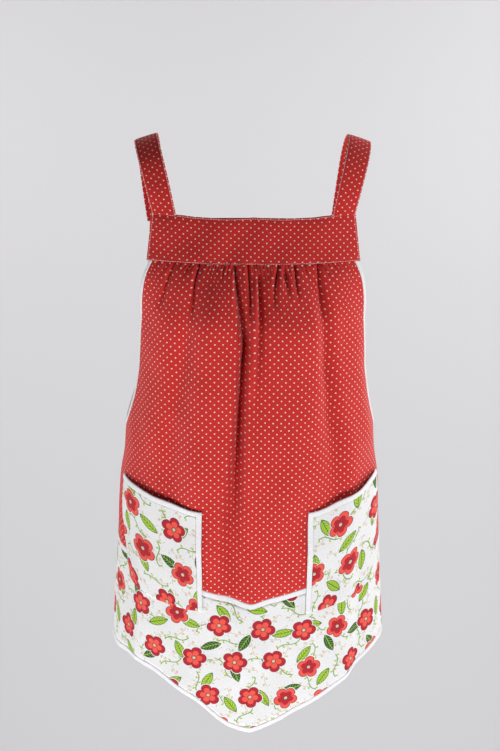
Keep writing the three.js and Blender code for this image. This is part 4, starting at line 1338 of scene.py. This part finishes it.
def lay_paper():
    """Seamless studio paper: matt, pale and faintly cool. It lies flat and sweeps up behind."""
    half_width, level, start, bend, top = 7, -3.2, 1.1, 2.2, 4.5
    arc = [
        (start + bend * math.sin(t), level + bend * (1 - math.cos(t)))
        for t in np.linspace(0, math.pi / 2, 25)
    ]
    line = [(-half_width, level), *arc, (start + bend, top)]
    mesh = bpy.data.meshes.new("studio_floor")
    mesh.from_pydata(
        [(x, y, z) for y, z in line for x in (-half_width, half_width)], [],
        [(2 * k, 2 * k + 1, 2 * k + 3, 2 * k + 2) for k in range(len(line) - 1)],
    )
    mesh.polygons.foreach_set("use_smooth", np.ones(len(mesh.polygons), bool))
    paper, tree = new_material("studio_paper")
    matt = {"Base Color": (*srgb("D6D5D7"), 1), "Roughness": 0.95}
    sheet = add_node(tree, "ShaderNodeBsdfPrincipled", matt)
    add_node(tree, "ShaderNodeOutputMaterial", (sheet,))
    mesh.materials.append(paper)
    floor = bpy.data.objects.new("studio_floor", mesh)
    bpy.context.scene.collection.objects.link(floor)


def set_lights(scene):
    """Soft light from all sides, most of it from low in front on the right."""
    scene.world = bpy.data.worlds.new("studio_air")
    scene.world.use_nodes = True
    air = scene.world.node_tree.nodes["Background"].inputs
    air["Color"].default_value = (*srgb("EDECEE"), 1)
    air["Strength"].default_value = 0.145
    for name, place, target, width, power in LIGHTS:
        lamp = bpy.data.lights.new(name, "AREA")
        lamp.shape = "SQUARE"
        lamp.size = width
        lamp.energy = power
        holder = bpy.data.objects.new(name, lamp)
        holder.location = place
        holder.rotation_euler = (Vector(target) - Vector(place)).to_track_quat("-Z", "Y").to_euler()
        scene.collection.objects.link(holder)


def set_camera(scene):
    """The camera stands in front, a little above the straps, and looks down on the apron."""
    yaw, pitch, roll = math.radians(2.2), math.radians(19.2), math.radians(0.65)
    away, height, aim = 1.43, 0.16, -0.0005
    level = math.cos(pitch)
    forward = Vector((math.sin(yaw) * level, math.cos(yaw) * level, -math.sin(pitch)))
    right = Vector((math.cos(yaw), -math.sin(yaw), 0))
    above = right.cross(forward)
    rolled_right = right * math.cos(roll) + above * math.sin(roll)
    rolled_above = above * math.cos(roll) - right * math.sin(roll)
    lens = bpy.data.cameras.new("camera")
    lens.sensor_width = 36
    lens.lens = 49.85
    camera = bpy.data.objects.new("camera", lens)
    camera.matrix_world = Matrix((rolled_right, rolled_above, -forward)).transposed().to_4x4()
    camera.location = (aim - away * math.sin(yaw), -away * math.cos(yaw), height)
    scene.collection.objects.link(camera)
    scene.camera = camera
    scene.view_settings.view_transform = "Standard"


class APRON_OT_stage(bpy.types.Operator):
    """Set the pale floor, the soft light and the camera"""

    bl_idname = "apron.stage"
    bl_label = "Floor, light and camera"

    def execute(self, context):
        lay_paper()
        set_lights(context.scene)
        set_camera(context.scene)
        return {"FINISHED"}


class APRON_PT_sidebar(bpy.types.Panel):
    """Lists the apron's settings and the steps that make it"""

    bl_idname = "APRON_PT_sidebar"
    bl_label = "Cobbler apron"
    bl_space_type = "VIEW_3D"
    bl_region_type = "UI"
    bl_category = "Apron"

    def draw(self, context):
        for name in ApronLooks.__annotations__:
            self.layout.prop(context.scene.apron_looks, name)
        for step in STEPS:
            self.layout.operator(step.bl_idname)


STEPS = (
    APRON_OT_stage,
    APRON_OT_straps,
    APRON_OT_yokes,
    APRON_OT_panels,
    APRON_OT_bands,
    APRON_OT_pockets,
)
CLASSES = (ApronLooks, *STEPS, APRON_PT_sidebar)


def register():
    for added in CLASSES:
        bpy.utils.register_class(added)
    bpy.types.Scene.apron_looks = bpy.props.PointerProperty(type=ApronLooks)


def unregister():
    del bpy.types.Scene.apron_looks
    for added in reversed(CLASSES):
        bpy.utils.unregister_class(added)


def main():
    register()
    for step in STEPS:
        group, name = step.bl_idname.split(".")
        getattr(getattr(bpy.ops, group), name)()


if __name__ == "__main__":
    main()
